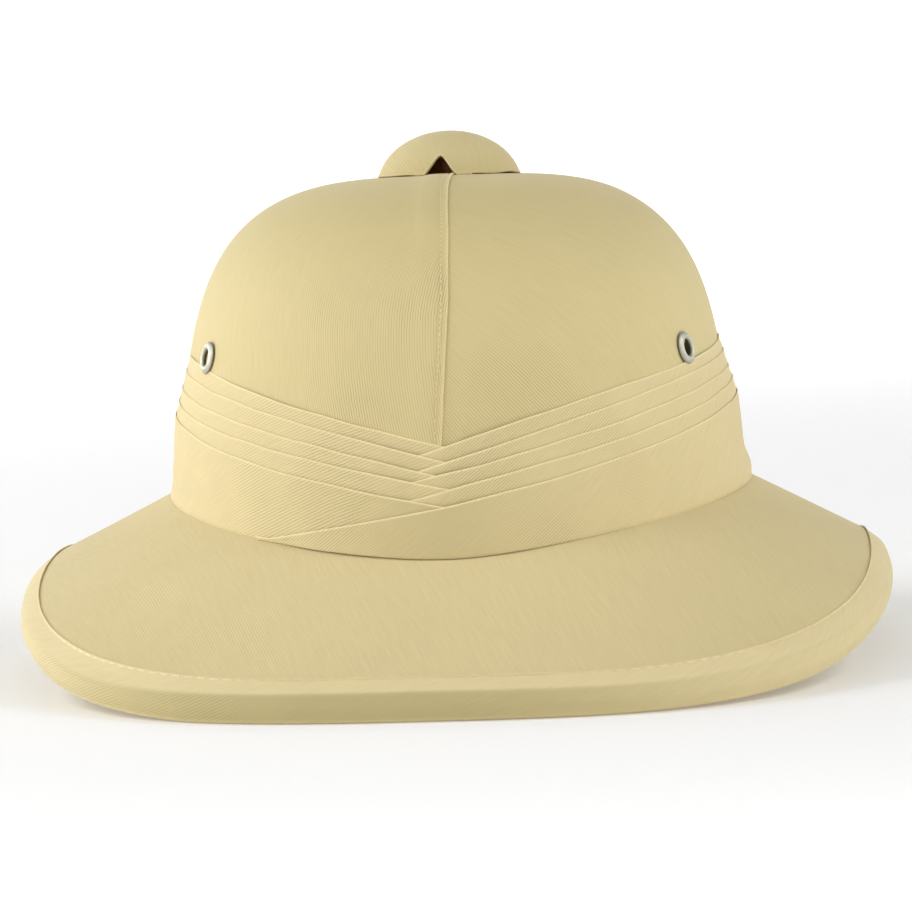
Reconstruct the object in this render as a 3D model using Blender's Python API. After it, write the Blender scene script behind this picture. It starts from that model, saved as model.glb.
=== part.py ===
"""A cloth-covered pith helmet: crown, brim, binding, pleated puggaree, vent cap with its post, two eyelets.

Units are metres and +Z is up. The helmet stands on the front and back of its brim, on z = 0, with the
origin on the floor under the middle of the brim. The front faces -Y. Most pieces are a closed section
that is carried round the oval of the helmet: an angle phi of zero is the front, and phi grows towards +X.
"""

import math

import bmesh
import bpy
from mathutils import Vector

MM = 0.001

# Brim: the outline in plan is a superellipse, and its sides arch up from the floor.
BRIM_WIDTH = 281 * MM
BRIM_LENGTH = 352.6 * MM
BRIM_SQUARENESS = 2.78
SIDE_ARCH = 23.7 * MM
ARCH_POWER = 2.1
RESTING_SINE = 0.27
EDGE_HEIGHT = 9.6 * MM
EDGE_TILT = 1.2 * MM

# Crown: an oval that narrows upwards and closes in a flat dome.
CROWN_WIDTH = 186.8 * MM
CROWN_LENGTH = 225.6 * MM
CROWN_TOP = 157.2 * MM
OVAL_SQUARENESS = 2.1
DOME_SHOULDER = 3.66
DOME_FLATNESS = 4.27
DOME_TAPER = 0.12
JUNCTION_FRONT = 40.8 * MM
JUNCTION_SIDE = 53.9 * MM
JUNCTION_POWER = 1.21
WALL = 8 * MM
UNDERSIDE_DROP = 4.3 * MM
INNER_ROUND = 3 * MM
VENT_RADIUS = 11 * MM

# Cloth strip that wraps the edge of the brim.
BINDING_CLOTH = 1.2 * MM
BINDING_TOP_WIDTH = 6.6 * MM
BINDING_UNDER_WIDTH = 6 * MM
BINDING_ROUND = 2 * MM
RESTING_LAND = 5 * MM

# Pleated band. Each fold is a step outwards, and its edge lies on a plane that rises to the sides.
BAND_THICKNESS = 4 * MM
FOLD_STEP = 0.7 * MM
FOLDS = [
    {"front": 74.8 * MM, "side": 101.6 * MM},
    {"front": 70.0 * MM, "side": 97.0 * MM},
    {"front": 66.0 * MM, "side": 91.6 * MM},
    {"front": 61.8 * MM, "side": 88.0 * MM},
    {"front": 57.1 * MM, "side": 83.0 * MM},
]
BACK_DIP_POWER = 1.6
LAP_STEP = 0.4 * MM
LAP_ANGLE = 31.5
LAP_FALL = 21 * MM
FOLD_EASE = 0.15 * MM
EYELET_EASE_ANGLE = 8

# Vent cap: an elliptical dome whose centre lies below its rim.
CAP_RADIUS = 23.6 * MM
CAP_HEIGHT = 15.0 * MM
CAP_CENTRE_DEPTH = 4 * MM
CAP_WALL = 3 * MM
CAP_LIFT = 0.15 * MM
NOTCH_WIDTH = 9.8 * MM
NOTCH_HEIGHT = 6.3 * MM
NOTCH_ANGLE = -4

# Post that holds the cap: a cross bar under the crown and a pin through the vent hole.
POST_BAR = (34 * MM, 8 * MM, 3 * MM)
PIN_RADIUS = 3 * MM

# Eyelets: where each sits on the crown, and how far the fold below gives way to it.
EYELET_RADIUS = 4.8 * MM
EYELET_HOLE = 2.4 * MM
EYELET_BARREL = 3.0 * MM
EYELET_CLEARANCE = 0.3 * MM
EYELETS = {
    "eyelet_left": {"angle": -54.0, "height": 101.7 * MM, "fold_ease": 0.5 * MM},
    "eyelet_right": {"angle": 54.4, "height": 100.5 * MM, "fold_ease": 1.5 * MM},
}

GAP = 0.3 * MM
COLUMNS = 80
CAP_COLUMNS = 24
EYELET_COLUMNS = 20

COLOURS = {
    "crown_cloth": {"rgb": (0.72, 0.61, 0.38), "rough": 0.85, "metal": 0.0},
    "brim_cloth": {"rgb": (0.72, 0.61, 0.38), "rough": 0.85, "metal": 0.0},
    "binding_cloth": {"rgb": (0.69, 0.58, 0.35), "rough": 0.85, "metal": 0.0},
    "band_cloth": {"rgb": (0.74, 0.63, 0.40), "rough": 0.8, "metal": 0.0},
    "cap_cloth": {"rgb": (0.70, 0.60, 0.38), "rough": 0.85, "metal": 0.0},
    "post_paint": {"rgb": (0.16, 0.07, 0.05), "rough": 0.6, "metal": 0.0},
    "eyelet_metal": {"rgb": (0.75, 0.75, 0.72), "rough": 0.3, "metal": 1.0},
}


# ---------------------------------------------------------------- outlines

def oval(phi, half_width, half_length, squareness):
    """Distance from the axis to a superellipse, at the angle phi."""
    across = abs(math.sin(phi)) / half_width
    along = abs(math.cos(phi)) / half_length
    return (across ** squareness + along ** squareness) ** (-1 / squareness)


def brim_radius(phi):
    return oval(phi, BRIM_WIDTH / 2, BRIM_LENGTH / 2, BRIM_SQUARENESS)


def arch(phi):
    """Height of the brim's lowest line: on the floor in front and behind, lifted at the sides."""
    lift = max(0.0, abs(math.sin(phi)) - RESTING_SINE) / (1 - RESTING_SINE)
    return SIDE_ARCH * lift ** ARCH_POWER


def junction_height(phi):
    """Height at which the band's lower edge meets the brim."""
    return JUNCTION_FRONT + (JUNCTION_SIDE - JUNCTION_FRONT) * abs(math.sin(phi)) ** JUNCTION_POWER


def crown_oval(phi, inset=0.0):
    return oval(phi, CROWN_WIDTH / 2 - inset, CROWN_LENGTH / 2 - inset, OVAL_SQUARENESS)


def dome_share(u):
    """Share of the crown's full radius that is left at the share u of its height."""
    return (1 - u ** DOME_FLATNESS) ** (1 / DOME_SHOULDER) * (1 - DOME_TAPER * u)


def crown_point(phi, u, inset=0.0):
    """Point (r, z) of the crown's outside, or of a surface that lies an inset within it."""
    base = junction_height(phi)
    z = base + (CROWN_TOP - inset - base) * u
    return Vector((crown_oval(phi, inset) * dome_share(u), z))


def crown_radius(phi, z):
    base = junction_height(phi)
    return crown_oval(phi) * dome_share(max(0.0, (z - base) / (CROWN_TOP - base)))


def in_space(phi, point):
    """The point (r, z) of a section, turned to its angle."""
    return Vector((point.x * math.sin(phi), -point.x * math.cos(phi), point.y))


# ---------------------------------------------------------------- sections

def offset_path(points, distance):
    """The open path moved sideways to its right by a distance, with mitred corners."""
    normals = []
    for start, end in zip(points, points[1:]):
        along = (end - start).normalized()
        normals.append(Vector((along.y, -along.x)))
    moved = [points[0] + normals[0] * distance]
    for corner, before, after in zip(points[1:-1], normals, normals[1:]):
        mitre = (before + after).normalized()
        moved.append(corner + mitre * (distance / mitre.dot(after)))
    moved.append(points[-1] + normals[-1] * distance)
    return moved


def edge_corners(phi):
    """The brim's edge with its binding on, from the top strip's inner end to the under strip's."""
    low = arch(phi)
    ridge = Vector((brim_radius(phi), low + EDGE_HEIGHT))
    foot = Vector((ridge.x - EDGE_TILT, low))
    junction = Vector((crown_oval(phi) + BAND_THICKNESS, junction_height(phi)))
    land = Vector((foot.x - RESTING_LAND, low))
    hollow = Vector((crown_oval(phi, WALL) + INNER_ROUND, junction.y - UNDERSIDE_DROP))
    top_end = ridge + (junction - ridge).normalized() * BINDING_TOP_WIDTH
    under_end = land + (hollow - land).normalized() * BINDING_UNDER_WIDTH
    return [top_end, ridge, foot, land, under_end], junction, hollow


def brim_surface(phi, radius):
    """Height of the brim's upper side at a distance from the axis."""
    corners, junction, _ = edge_corners(phi)
    start = offset_path(corners, BINDING_CLOTH + GAP)[0]
    share = (radius - start.x) / (junction.x - start.x)
    return start.y + (junction.y - start.y) * share


def brim_underside(phi, radius):
    """Height of the brim's lower side at a distance from the axis."""
    corners, _, hollow = edge_corners(phi)
    end = offset_path(corners, BINDING_CLOTH + GAP)[-1]
    share = (radius - end.x) / (hollow.x - end.x)
    return end.y + (hollow.y - end.y) * share


def dome_shares(steps, last_angle):
    """Shares of the crown's height, closer together where the dome turns over."""
    angles = [math.radians(last_angle) * (step + 1) / steps for step in range(steps)]
    return [math.sin(angle) ** (2 / DOME_FLATNESS) for angle in angles]


def crown_section(phi):
    """The wall of the crown, from the rim of the vent hole down through the brim to its underside."""
    _, _, hollow = edge_corners(phi)
    wall = crown_oval(phi)
    root = Vector((wall, brim_surface(phi, wall)))
    outer_foot = Vector((wall, brim_underside(phi, wall)))
    outside = [crown_point(phi, u) for u in reversed([0.17, 0.33] + dome_shares(9, 84))]
    inner_foot = Vector((hollow.x - INNER_ROUND, hollow.y + INNER_ROUND))
    inside = [crown_point(phi, u, WALL) for u in [0.2] + dome_shares(7, 83)]
    rim_top = Vector((VENT_RADIUS, CROWN_TOP))
    rim_low = Vector((VENT_RADIUS, CROWN_TOP - WALL))
    return [rim_top, *outside, root, outer_foot, hollow, inner_foot, *inside, rim_low]


def brim_section(phi):
    """The brim, from its joint with the crown out to the seat of the binding."""
    corners, _, _ = edge_corners(phi)
    joint = crown_oval(phi) + GAP
    edge = offset_path(corners, BINDING_CLOTH + GAP)
    joint_top = Vector((joint, brim_surface(phi, joint)))
    joint_low = Vector((joint, brim_underside(phi, joint)))
    return [joint_top, *edge, joint_low]


def binding_section(phi):
    corners, _, _ = edge_corners(phi)
    top_end, ridge, foot, land, under_end = corners
    inwards = (top_end - ridge).normalized()
    down = (foot - ridge).normalized()
    outer = [
        top_end,
        ridge + inwards * BINDING_ROUND,
        ridge + (inwards + down) * (BINDING_ROUND * 0.3),
        ridge + down * BINDING_ROUND,
        foot - down * (BINDING_ROUND / 2),
        foot - Vector((BINDING_ROUND / 2, 0)),
        land,
        under_end,
    ]
    return outer + list(reversed(offset_path(corners, BINDING_CLOTH)))


def fold_height(phi, fold):
    """Height of a fold's edge: a V at the front, and a smooth dip behind."""
    turn = abs(math.sin(phi))
    if math.cos(phi) < 0:
        turn = turn ** BACK_DIP_POWER
    return fold["front"] + (fold["side"] - fold["front"]) * turn


def eyelet_ease(phi):
    """How far the top fold dips to pass under each eyelet."""
    ease = 0.0
    for place in EYELETS.values():
        away = (math.degrees(phi) - place["angle"]) / EYELET_EASE_ANGLE
        ease += place["fold_ease"] * math.exp(-away * away)
    return ease


def lap(phi):
    """Height and depth of the lower right band's end, which laps over the left side of the front."""
    reach = -math.degrees(phi)
    last = fold_height(phi, FOLDS[-1])
    if 0 <= reach < LAP_ANGLE:
        return FOLDS[-1]["front"] - LAP_FALL * math.sin(-phi), LAP_STEP * (1 - (reach / LAP_ANGLE) ** 4)
    if reach <= 0:
        return last - FOLD_STEP, 0.0
    return brim_surface(phi, crown_oval(phi) + BAND_THICKNESS) + FOLD_STEP, 0.0


def band_section(phi):
    def standing(height, depth):
        return Vector((crown_radius(phi, height) + depth, height))

    foot_out = crown_oval(phi) + BAND_THICKNESS
    foot_in = crown_oval(phi) + GAP
    low_out = brim_surface(phi, foot_out) + GAP
    low_in = brim_surface(phi, foot_in) + GAP * 1.5
    lap_height, lap_depth = lap(phi)
    lap_height = max(lap_height, low_out + FOLD_STEP)
    depth = BAND_THICKNESS
    rows = [
        Vector((foot_out + lap_depth, low_out)),
        standing(lap_height, depth + lap_depth),
        standing(lap_height + FOLD_EASE, depth),
    ]
    for fold in reversed(FOLDS[1:]):
        height = fold_height(phi, fold)
        rows.append(standing(height, depth))
        depth -= FOLD_STEP
        rows.append(standing(height + FOLD_EASE, depth))
    top = fold_height(phi, FOLDS[0]) - eyelet_ease(phi)
    rows.append(standing(top, depth))
    rows.append(standing(top, GAP))
    for share in (0.75, 0.5, 0.25):
        rows.append(standing(low_in + (top - low_in) * share, GAP))
    rows.append(Vector((foot_in, low_in)))
    return rows


# ---------------------------------------------------------------- meshes

def make_material(name):
    """The named material, made the first time that a piece asks for it."""
    if name in bpy.data.materials:
        return bpy.data.materials[name]
    colour = COLOURS[name]
    material = bpy.data.materials.new(name)
    material.use_nodes = True
    shader = material.node_tree.nodes["Principled BSDF"]
    shader.inputs["Base Color"].default_value = (*colour["rgb"], 1)
    shader.inputs["Roughness"].default_value = colour["rough"]
    shader.inputs["Metallic"].default_value = colour["metal"]
    return material


def add_object(name, shape, material=None, sharp_angle=40):
    """Turns a bmesh into an object with faces outwards, shaded smooth up to an angle."""
    bmesh.ops.recalc_face_normals(shape, faces=shape.faces)
    mesh = bpy.data.meshes.new(name)
    shape.to_mesh(mesh)
    shape.free()
    mesh.shade_smooth()
    mesh.set_sharp_from_angle(angle=math.radians(sharp_angle))
    if material:
        mesh.materials.append(make_material(material))
    thing = bpy.data.objects.new(name, mesh)
    bpy.context.scene.collection.objects.link(thing)
    return thing


def ring_of_sections(section, columns):
    """A closed body made of one closed section carried all the way round."""
    shape = bmesh.new()
    rings = []
    for column in range(columns):
        phi = 2 * math.pi * column / columns
        if phi > math.pi:
            phi -= 2 * math.pi
        rings.append([shape.verts.new(in_space(phi, point)) for point in section(phi)])
    for ring, following in zip(rings, rings[1:] + rings[:1]):
        for row, vertex in enumerate(ring):
            upper = ring[row - 1]
            shape.faces.new((vertex, upper, following[row - 1], following[row]))
    return shape


def cut(thing, cutter):
    """Takes the cutter's shape out of a thing, and keeps the cutter as a guide."""
    cutter.hide_render = True
    cutter.display_type = "WIRE"
    boolean = thing.modifiers.new("cut " + cutter.name, "BOOLEAN")
    boolean.operation = "DIFFERENCE"
    boolean.object = cutter


def crown_seat(phi, height):
    """The point on the crown at an angle and height, and the direction straight out from it."""
    step = 0.5 * MM
    turn = step / crown_radius(phi, height)
    middle = in_space(phi, Vector((crown_radius(phi, height), height)))
    beside = in_space(phi + turn, Vector((crown_radius(phi + turn, height), height)))
    above = in_space(phi, Vector((crown_radius(phi, height + step), height + step)))
    return middle, (beside - middle).cross(above - middle).normalized()


def stand_on_crown(thing, place):
    seat, outwards = crown_seat(math.radians(place["angle"]), place["height"])
    thing.location = seat
    thing.rotation_mode = "QUATERNION"
    thing.rotation_quaternion = outwards.to_track_quat("Z", "Y")


# ---------------------------------------------------------------- pieces

def make_crown():
    crown = add_object("crown_shell", ring_of_sections(crown_section, COLUMNS), "crown_cloth")
    for name, place in EYELETS.items():
        drill = bmesh.new()
        bmesh.ops.create_cone(
            drill,
            cap_ends=True,
            segments=EYELET_COLUMNS,
            radius1=EYELET_BARREL + EYELET_CLEARANCE,
            radius2=EYELET_BARREL + EYELET_CLEARANCE,
            depth=WALL * 4,
        )
        guide = add_object("drill_for_" + name, drill)
        stand_on_crown(guide, place)
        cut(crown, guide)


def make_brim():
    add_object("brim_shell", ring_of_sections(brim_section, COLUMNS), "brim_cloth")


def make_binding():
    add_object("brim_binding", ring_of_sections(binding_section, COLUMNS), "binding_cloth")


def make_puggaree():
    add_object("puggaree", ring_of_sections(band_section, COLUMNS), "band_cloth", sharp_angle=30)


def dome_profile(radius, height, centre_depth, rows):
    """Points (r, z) from the rim of an elliptical dome up to just short of its pole."""
    tall = height + centre_depth
    wide = radius / math.sqrt(1 - (centre_depth / tall) ** 2)
    start = math.asin(centre_depth / tall)
    angles = [start + (math.pi / 2 - start) * row / rows for row in range(rows)]
    return [Vector((wide * math.cos(a), tall * math.sin(a) - centre_depth)) for a in angles]


def make_vent_cap():
    base = CROWN_TOP + CAP_LIFT
    outer = dome_profile(CAP_RADIUS, CAP_HEIGHT, CAP_CENTRE_DEPTH, 7)
    inner = dome_profile(CAP_RADIUS - CAP_WALL, CAP_HEIGHT - CAP_WALL, CAP_CENTRE_DEPTH, 5)
    shape = bmesh.new()
    rings = []
    for point in [*reversed(outer), *inner]:
        ring = []
        for column in range(CAP_COLUMNS):
            turn = 2 * math.pi * column / CAP_COLUMNS
            ring.append(shape.verts.new(in_space(turn, Vector((point.x, base + point.y)))))
        rings.append(ring)
    for ring, following in zip(rings, rings[1:]):
        for column, vertex in enumerate(ring):
            before = column - 1
            shape.faces.new((vertex, following[column], following[before], ring[before]))
    for ring, height in ((rings[0], CAP_HEIGHT), (rings[-1], CAP_HEIGHT - CAP_WALL)):
        pole = shape.verts.new((0, 0, base + height))
        for column, vertex in enumerate(ring):
            shape.faces.new((vertex, ring[column - 1], pole))
    cap = add_object("vent_cap", shape, "cap_cloth")
    cut(cap, make_notch_cutter(base))


def make_notch_cutter(base):
    """A pointed arch that runs through the cap from front to back."""
    half = NOTCH_WIDTH / 2
    arch_points = [(1.0, -0.3), (1.0, 0.0), (0.72, 0.42), (0.36, 0.8), (0.0, 1.0)]
    right = [(half * x, NOTCH_HEIGHT * z) for x, z in arch_points]
    outline = right + [(-x, z) for x, z in reversed(right[:-1])]
    shape = bmesh.new()
    front = [shape.verts.new((x, -CAP_RADIUS * 1.2, base + z)) for x, z in outline]
    face = shape.faces.new(front)
    grown = bmesh.ops.extrude_face_region(shape, geom=[face])["geom"]
    back = [item for item in grown if isinstance(item, bmesh.types.BMVert)]
    bmesh.ops.translate(shape, verts=back, vec=(0, CAP_RADIUS * 2.4, 0))
    cutter = add_object("notch_cutter", shape)
    cutter.rotation_euler.z = math.radians(NOTCH_ANGLE)
    return cutter


def make_cap_post():
    """A cross bar with a pin on it, in one body: the pin's foot is sunk in the bar and joined to it."""
    length, width, depth = POST_BAR
    bar_top = crown_point(math.pi / 2, dome_shares(7, 83)[-1], WALL).y - GAP
    bar = bmesh.new()
    bmesh.ops.create_cube(bar, size=1)
    bmesh.ops.scale(bar, verts=bar.verts, vec=(length, width, depth))
    bmesh.ops.translate(bar, verts=bar.verts, vec=(0, 0, bar_top - depth / 2))
    pin_top = CROWN_TOP + CAP_LIFT + CAP_HEIGHT - CAP_WALL - GAP * 1.5
    pin_foot = bar_top - depth / 2
    pin = bmesh.new()
    bmesh.ops.create_cone(
        pin, cap_ends=True, segments=CAP_COLUMNS, radius1=PIN_RADIUS, radius2=PIN_RADIUS, depth=pin_top - pin_foot
    )
    bmesh.ops.translate(pin, verts=pin.verts, vec=(0, 0, (pin_top + pin_foot) / 2))
    post = add_object("cap_post", bar, "post_paint")
    guide = add_object("post_pin", pin)
    guide.hide_render = True
    guide.display_type = "WIRE"
    joined = post.modifiers.new("join pin", "BOOLEAN")
    joined.operation = "UNION"
    joined.object = guide


def make_eyelet(name, place):
    """A rolled flange on the cover with a barrel through the wall."""
    profile = [
        (EYELET_HOLE, -WALL),
        (EYELET_HOLE, 0.9 * MM),
        (EYELET_HOLE + 0.4 * MM, 1.4 * MM),
        (EYELET_HOLE + 1.2 * MM, 1.6 * MM),
        (EYELET_RADIUS - 0.5 * MM, 1.3 * MM),
        (EYELET_RADIUS, 0.8 * MM),
        (EYELET_RADIUS - 0.2 * MM, GAP),
        (EYELET_BARREL, GAP),
        (EYELET_BARREL, -WALL),
    ]
    shape = bmesh.new()
    rings = []
    for column in range(EYELET_COLUMNS):
        turn = 2 * math.pi * column / EYELET_COLUMNS
        direction = Vector((math.cos(turn), math.sin(turn), 0))
        rings.append([shape.verts.new(direction * r + Vector((0, 0, z))) for r, z in profile])
    for ring, following in zip(rings, rings[1:] + rings[:1]):
        for row, vertex in enumerate(ring):
            shape.faces.new((vertex, ring[row - 1], following[row - 1], following[row]))
    stand_on_crown(add_object(name, shape, "eyelet_metal", sharp_angle=60), place)


def main():
    for thing in list(bpy.data.objects):
        bpy.data.objects.remove(thing)
    make_crown()
    make_brim()
    make_binding()
    make_puggaree()
    make_vent_cap()
    make_cap_post()
    for name, place in EYELETS.items():
        make_eyelet(name, place)


main()
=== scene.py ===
"""Dresses the pith helmet: cloth covers, pleated band, stitches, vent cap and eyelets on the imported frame.

Metres, +Z up. The front of the helmet faces -Y. An angle phi of zero is the front, and phi grows
towards +X, so that a point at the distance r from the axis is (r sin phi, -r cos phi, z).
"""

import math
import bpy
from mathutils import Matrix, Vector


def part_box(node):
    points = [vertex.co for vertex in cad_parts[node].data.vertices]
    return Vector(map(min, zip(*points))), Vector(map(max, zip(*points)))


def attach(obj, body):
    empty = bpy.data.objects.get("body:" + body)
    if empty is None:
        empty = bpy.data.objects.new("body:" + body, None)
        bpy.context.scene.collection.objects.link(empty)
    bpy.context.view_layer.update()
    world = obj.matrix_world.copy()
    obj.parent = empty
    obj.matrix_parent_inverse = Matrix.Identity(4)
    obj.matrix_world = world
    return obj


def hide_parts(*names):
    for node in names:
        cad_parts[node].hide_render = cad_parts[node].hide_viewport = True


bl_info = {
    "name": "Pith Helmet",
    "version": (1, 0, 0),
    "blender": (4, 5, 0),
    "location": "View3D > Sidebar > Helmet",
    "description": "Builds a cloth-covered pith helmet piece by piece, with a plain stage",
    "category": "Add Mesh",
}

import bmesh
import bpy
import numpy as np
from mathutils import Matrix, Vector

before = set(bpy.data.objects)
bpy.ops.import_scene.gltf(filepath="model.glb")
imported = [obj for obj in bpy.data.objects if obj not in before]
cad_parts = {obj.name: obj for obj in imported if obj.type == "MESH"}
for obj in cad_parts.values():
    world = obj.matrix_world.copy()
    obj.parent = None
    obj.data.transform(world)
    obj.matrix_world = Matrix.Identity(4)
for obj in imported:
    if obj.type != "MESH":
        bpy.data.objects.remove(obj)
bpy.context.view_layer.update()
MM = 0.001
TURN = 2 * math.pi


def table(names, *rows):
    """Rows of values as dictionaries, with the names of the columns in one text."""
    return [dict(zip(names.split(), row)) for row in rows]


def column_of(rows, name):
    """One column of a table, as numbers."""
    return np.array([row[name] for row in rows], float)


# Lengths in these tables are in millimetres where nothing else is said, and angles are in degrees from the
# front, to the right.

# The five folds of the band: the height of each edge in front on the left and the right, and at the sides,
# and how it bows up on the left and on the right, in one arch and in a wave that rises first and then dips.
FOLDS = table(
    "left right side bow wave",
    (75.2, 73.9, 101.6, (1.35, 0.0), (0.0, 1.4)),
    (70.8, 69.2, 97.0, (0.9, 0.7), (0.5, 0.75)),
    (66.1, 66.0, 91.6, (0.4, 0.0), (0.6, 0.0)),
    (62.7, 60.9, 88.0, (-1.0, -1.1), (0.5, 0.4)),
    (57.0, 56.3, 83.0, (-0.95, -1.4), (0.0, 0.0)),
)
# Section through a fold: distance below its edge, how far it stands out of its layer, and how much painted
# highlight it takes.
FOLD_PROFILE = table(
    "below out rubbed",
    (0.34, 0.00, 0.0),
    (0.12, 0.02, 0.4),
    (0.00, 0.15, 1.0),
    (0.05, 0.27, 1.0),
    (0.22, 0.37, 0.9),
    (0.46, 0.41, 0.3),
    (0.80, 0.42, 0.0),
    (1.20, 0.40, 0.0),
    (1.70, 0.36, 0.0),
)
# Section across a lapped seam: distance from the folded edge, height over the panel below, and how much
# painted highlight it takes.
SEAM_PROFILE = table(
    "across height rubbed",
    (-14.0, 0.00, 0.0),
    (-11.5, 0.03, 0.0),
    (-10.0, 0.12, 0.0),
    (-9.0, 0.30, 0.0),
    (-8.0, 0.44, 0.0),
    (-6.0, 0.52, 0.0),
    (-4.0, 0.53, 0.0),
    (-3.2, 0.50, 0.0),
    (-2.6, 0.42, 0.0),
    (-2.1, 0.35, 0.0),
    (-1.6, 0.44, 0.0),
    (-1.1, 0.58, 0.0),
    (-0.6, 0.69, 0.15),
    (-0.25, 0.72, 0.6),
    (-0.04, 0.62, 0.8),
    (0.07, 0.44, 0.5),
    (0.04, 0.14, 0.0),
)
# How far the front seam leans from the middle, at heights over the floor.
SEAM_LEAN = table(
    "height aside",
    (60.0, 0.9),
    (75.5, 1.6),
    (118.7, 4.5),
    (140.0, 4.4),
    (156.0, 3.0),
)
# Face of the lowest fold at the sides, from its edge down: share of the way, and how far out on either side.
FACE_PROFILE = table(
    "share left right",
    (0.00, 0.0, 0.0),
    (0.35, -0.3, -0.1),
    (0.62, -1.3, -0.4),
    (0.86, -0.7, 1.1),
    (1.00, -0.4, 0.7),
    (2.00, -0.4, 0.7),
)

# How much lower than the brim's arch the foot of its edge lies, by the angle from the front.
EDGE_FOOT = table(
    "angle drop",
    (-180, 0.0),
    (-130, 0.0),
    (-90, 0.4),
    (-60, 0.9),
    (-45, 1.2),
    (-20, 0.6),
    (20, 0.0),
    (44, 1.6),
    (70, 1.6),
    (110, 0.4),
    (140, 0.0),
    (180, 0.0),
)
EYELETS = table(
    "name node angle height",
    ("vent_eyelet_left", "eyelet_left", -53.8, 101.4),
    ("vent_eyelet_right", "eyelet_right", 54.6, 99.7),
)


# Section through an eyelet: distance from its hole or rim, height over the cloth, whether it lies on the
# wall's outside (0) or inside (1), and how much painted shade darkens it.
EYELET_PROFILE = table(
    "from out up inside dark",
    ("hole", 2.20, -0.05, 1, 0.0),
    ("hole", 2.30, -0.35, 1, 0.0),
    ("hole", 2.00, -0.60, 1, 0.0),
    ("hole", 0.60, -0.75, 1, 0.3),
    ("hole", 0.15, -0.55, 1, 1.0),
    ("hole", 0.05, 0.00, 0.5, 1.0),
    ("hole", 0.00, -0.50, 0, 1.0),
    ("hole", 0.00, 0.55, 0, 1.0),
    ("hole", 0.06, 0.95, 0, 0.35),
    ("hole", 0.25, 1.30, 0, 0.0),
    ("hole", 0.60, 1.55, 0, 0.0),
    ("hole", 1.00, 1.62, 0, 0.0),
    ("hole", 1.40, 1.52, 0, 0.0),
    ("hole", 1.85, 1.26, 0, 0.05),
    ("rim", -0.20, 0.94, 0, 0.15),
    ("rim", 0.00, 0.62, 0, 0.45),
    ("rim", -0.03, 0.42, 0, 0.8),
    ("rim", -0.20, 0.28, 0, 0.9),
    ("hole", 0.70, 0.28, 0, 0.0),
    ("hole", 0.50, 0.00, 0, 0.0),
    ("hole", 0.60, -0.05, 1, 0.0),
)
# Section through the cap's rolled hem: distance up from its edge, how far it stands out, and how much
# painted highlight it takes.
HEM_PROFILE = table(
    "up out rubbed",
    (0.00, -0.20, 0.0),
    (0.08, 0.08, 0.7),
    (0.26, 0.22, 0.9),
    (0.52, 0.28, 0.4),
    (0.85, 0.20, 0.0),
    (1.15, 0.04, 0.0),
    (1.50, -0.03, 0.0),
    (2.00, 0.00, 0.0),
)
# Where the cap's hem lifts off the crown: angle from the front, and the gap.
HEM_GAPS = table(
    "angle gap",
    (-180, 0.05),
    (-90, 0.00),
    (-60, 0.45),
    (-32, 0.60),
    (-18, 0.35),
    (16, 0.00),
    (24, 0.50),
    (58, 0.55),
    (90, 0.00),
    (180, 0.05),
)
# Half of the cap's pointed notch, as shares of its half width and of its height.
NOTCH_OUTLINE = table(
    "across height",
    (0.00, 1.00),
    (0.12, 0.97),
    (0.24, 0.90),
    (0.38, 0.76),
    (0.56, 0.54),
    (0.78, 0.27),
    (1.00, 0.03),
    (1.10, 0.00),
)
# Where the cap has its columns of points across that notch, as shares of its half width.
NOTCH_SPOTS = (0, 0.07, 0.16, 0.28, 0.40, 0.52, 0.64, 0.76, 0.86, 0.94, 1.0, 1.06, 1.14)
# The top edge of the crown's cover, which turns down into the vent hole.
VENT_LIP = table("out down", (0.2, 0.25), (0.0, 0.8), (0.0, 4.0))
# How far the binding's section is rounded before and after each of its corners, from below to the top.
BINDING_ROUNDS = table("before after", (0.8, 0.8), (2.0, 1.9), (1.4, 1.2), (1.2, 2.1))
# How far the cover below is rounded at each of its corners, from inside to the edge.
UNDER_ROUNDS = (1.5, 2.0, 0.4)
# The crown's two panels: the twill's slope and fineness, between which angles beside the front and between
# which heights it turns calm, how calm it is below those heights and how much calmer above, and the eyelet.
PANELS = table(
    "name wale fineness aside up calm calmer eyelet",
    ("crown_cover_left", 112.0, 1.17, (14, 30), (130, 145), 0.0, 0.85, EYELETS[0]),
    ("crown_cover_right", 121.0, 1.0, (20, 36), (92, 120), 0.1, 0.75, EYELETS[1]),
)
# Where the right panel has its columns of points, across the seam on which the left panel lies.
LAP_COLUMNS = (-6, -3, -1.5, -0.6, 0, 0.6, 1.5, 3, 6, 10)
# The uneven surface of each piece: how deep it is, how wide its lumps are, and the seed of its draws.
LUMPS = {
    "crown": (0.22, 24, 3),
    "pith": (0.3, 14, 11),
    "brim": (0.2, 30, 5),
    "binding": (0.07, 5, 21),
    "band": (0.16, 26, 60),
    "cap": (0.16, 8, 31),
}
# Slopes of the twill's ribs, in degrees.
BRIM_WALE, BINDING_WALE, BAND_WALE, CAP_WALE = 112.0, 24.0, 31.0, 105.0
# Places on the brim's edge and the band that differ: the middle and the reach, and how sharply they end.
LOW_RIDGE = (-35, 9)
FULL_LEFT = (-68, 20)
# Where the edge's upright face takes the most painted shade.
PAINTED_SHADE_EDGE = (-10, 30, 4)
SMOOTH_BAND = (1, 10, 4)
# Where the lowest fold takes painted shade in front.
PAINTED_SHADE_BAND = (0, 14)
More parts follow.
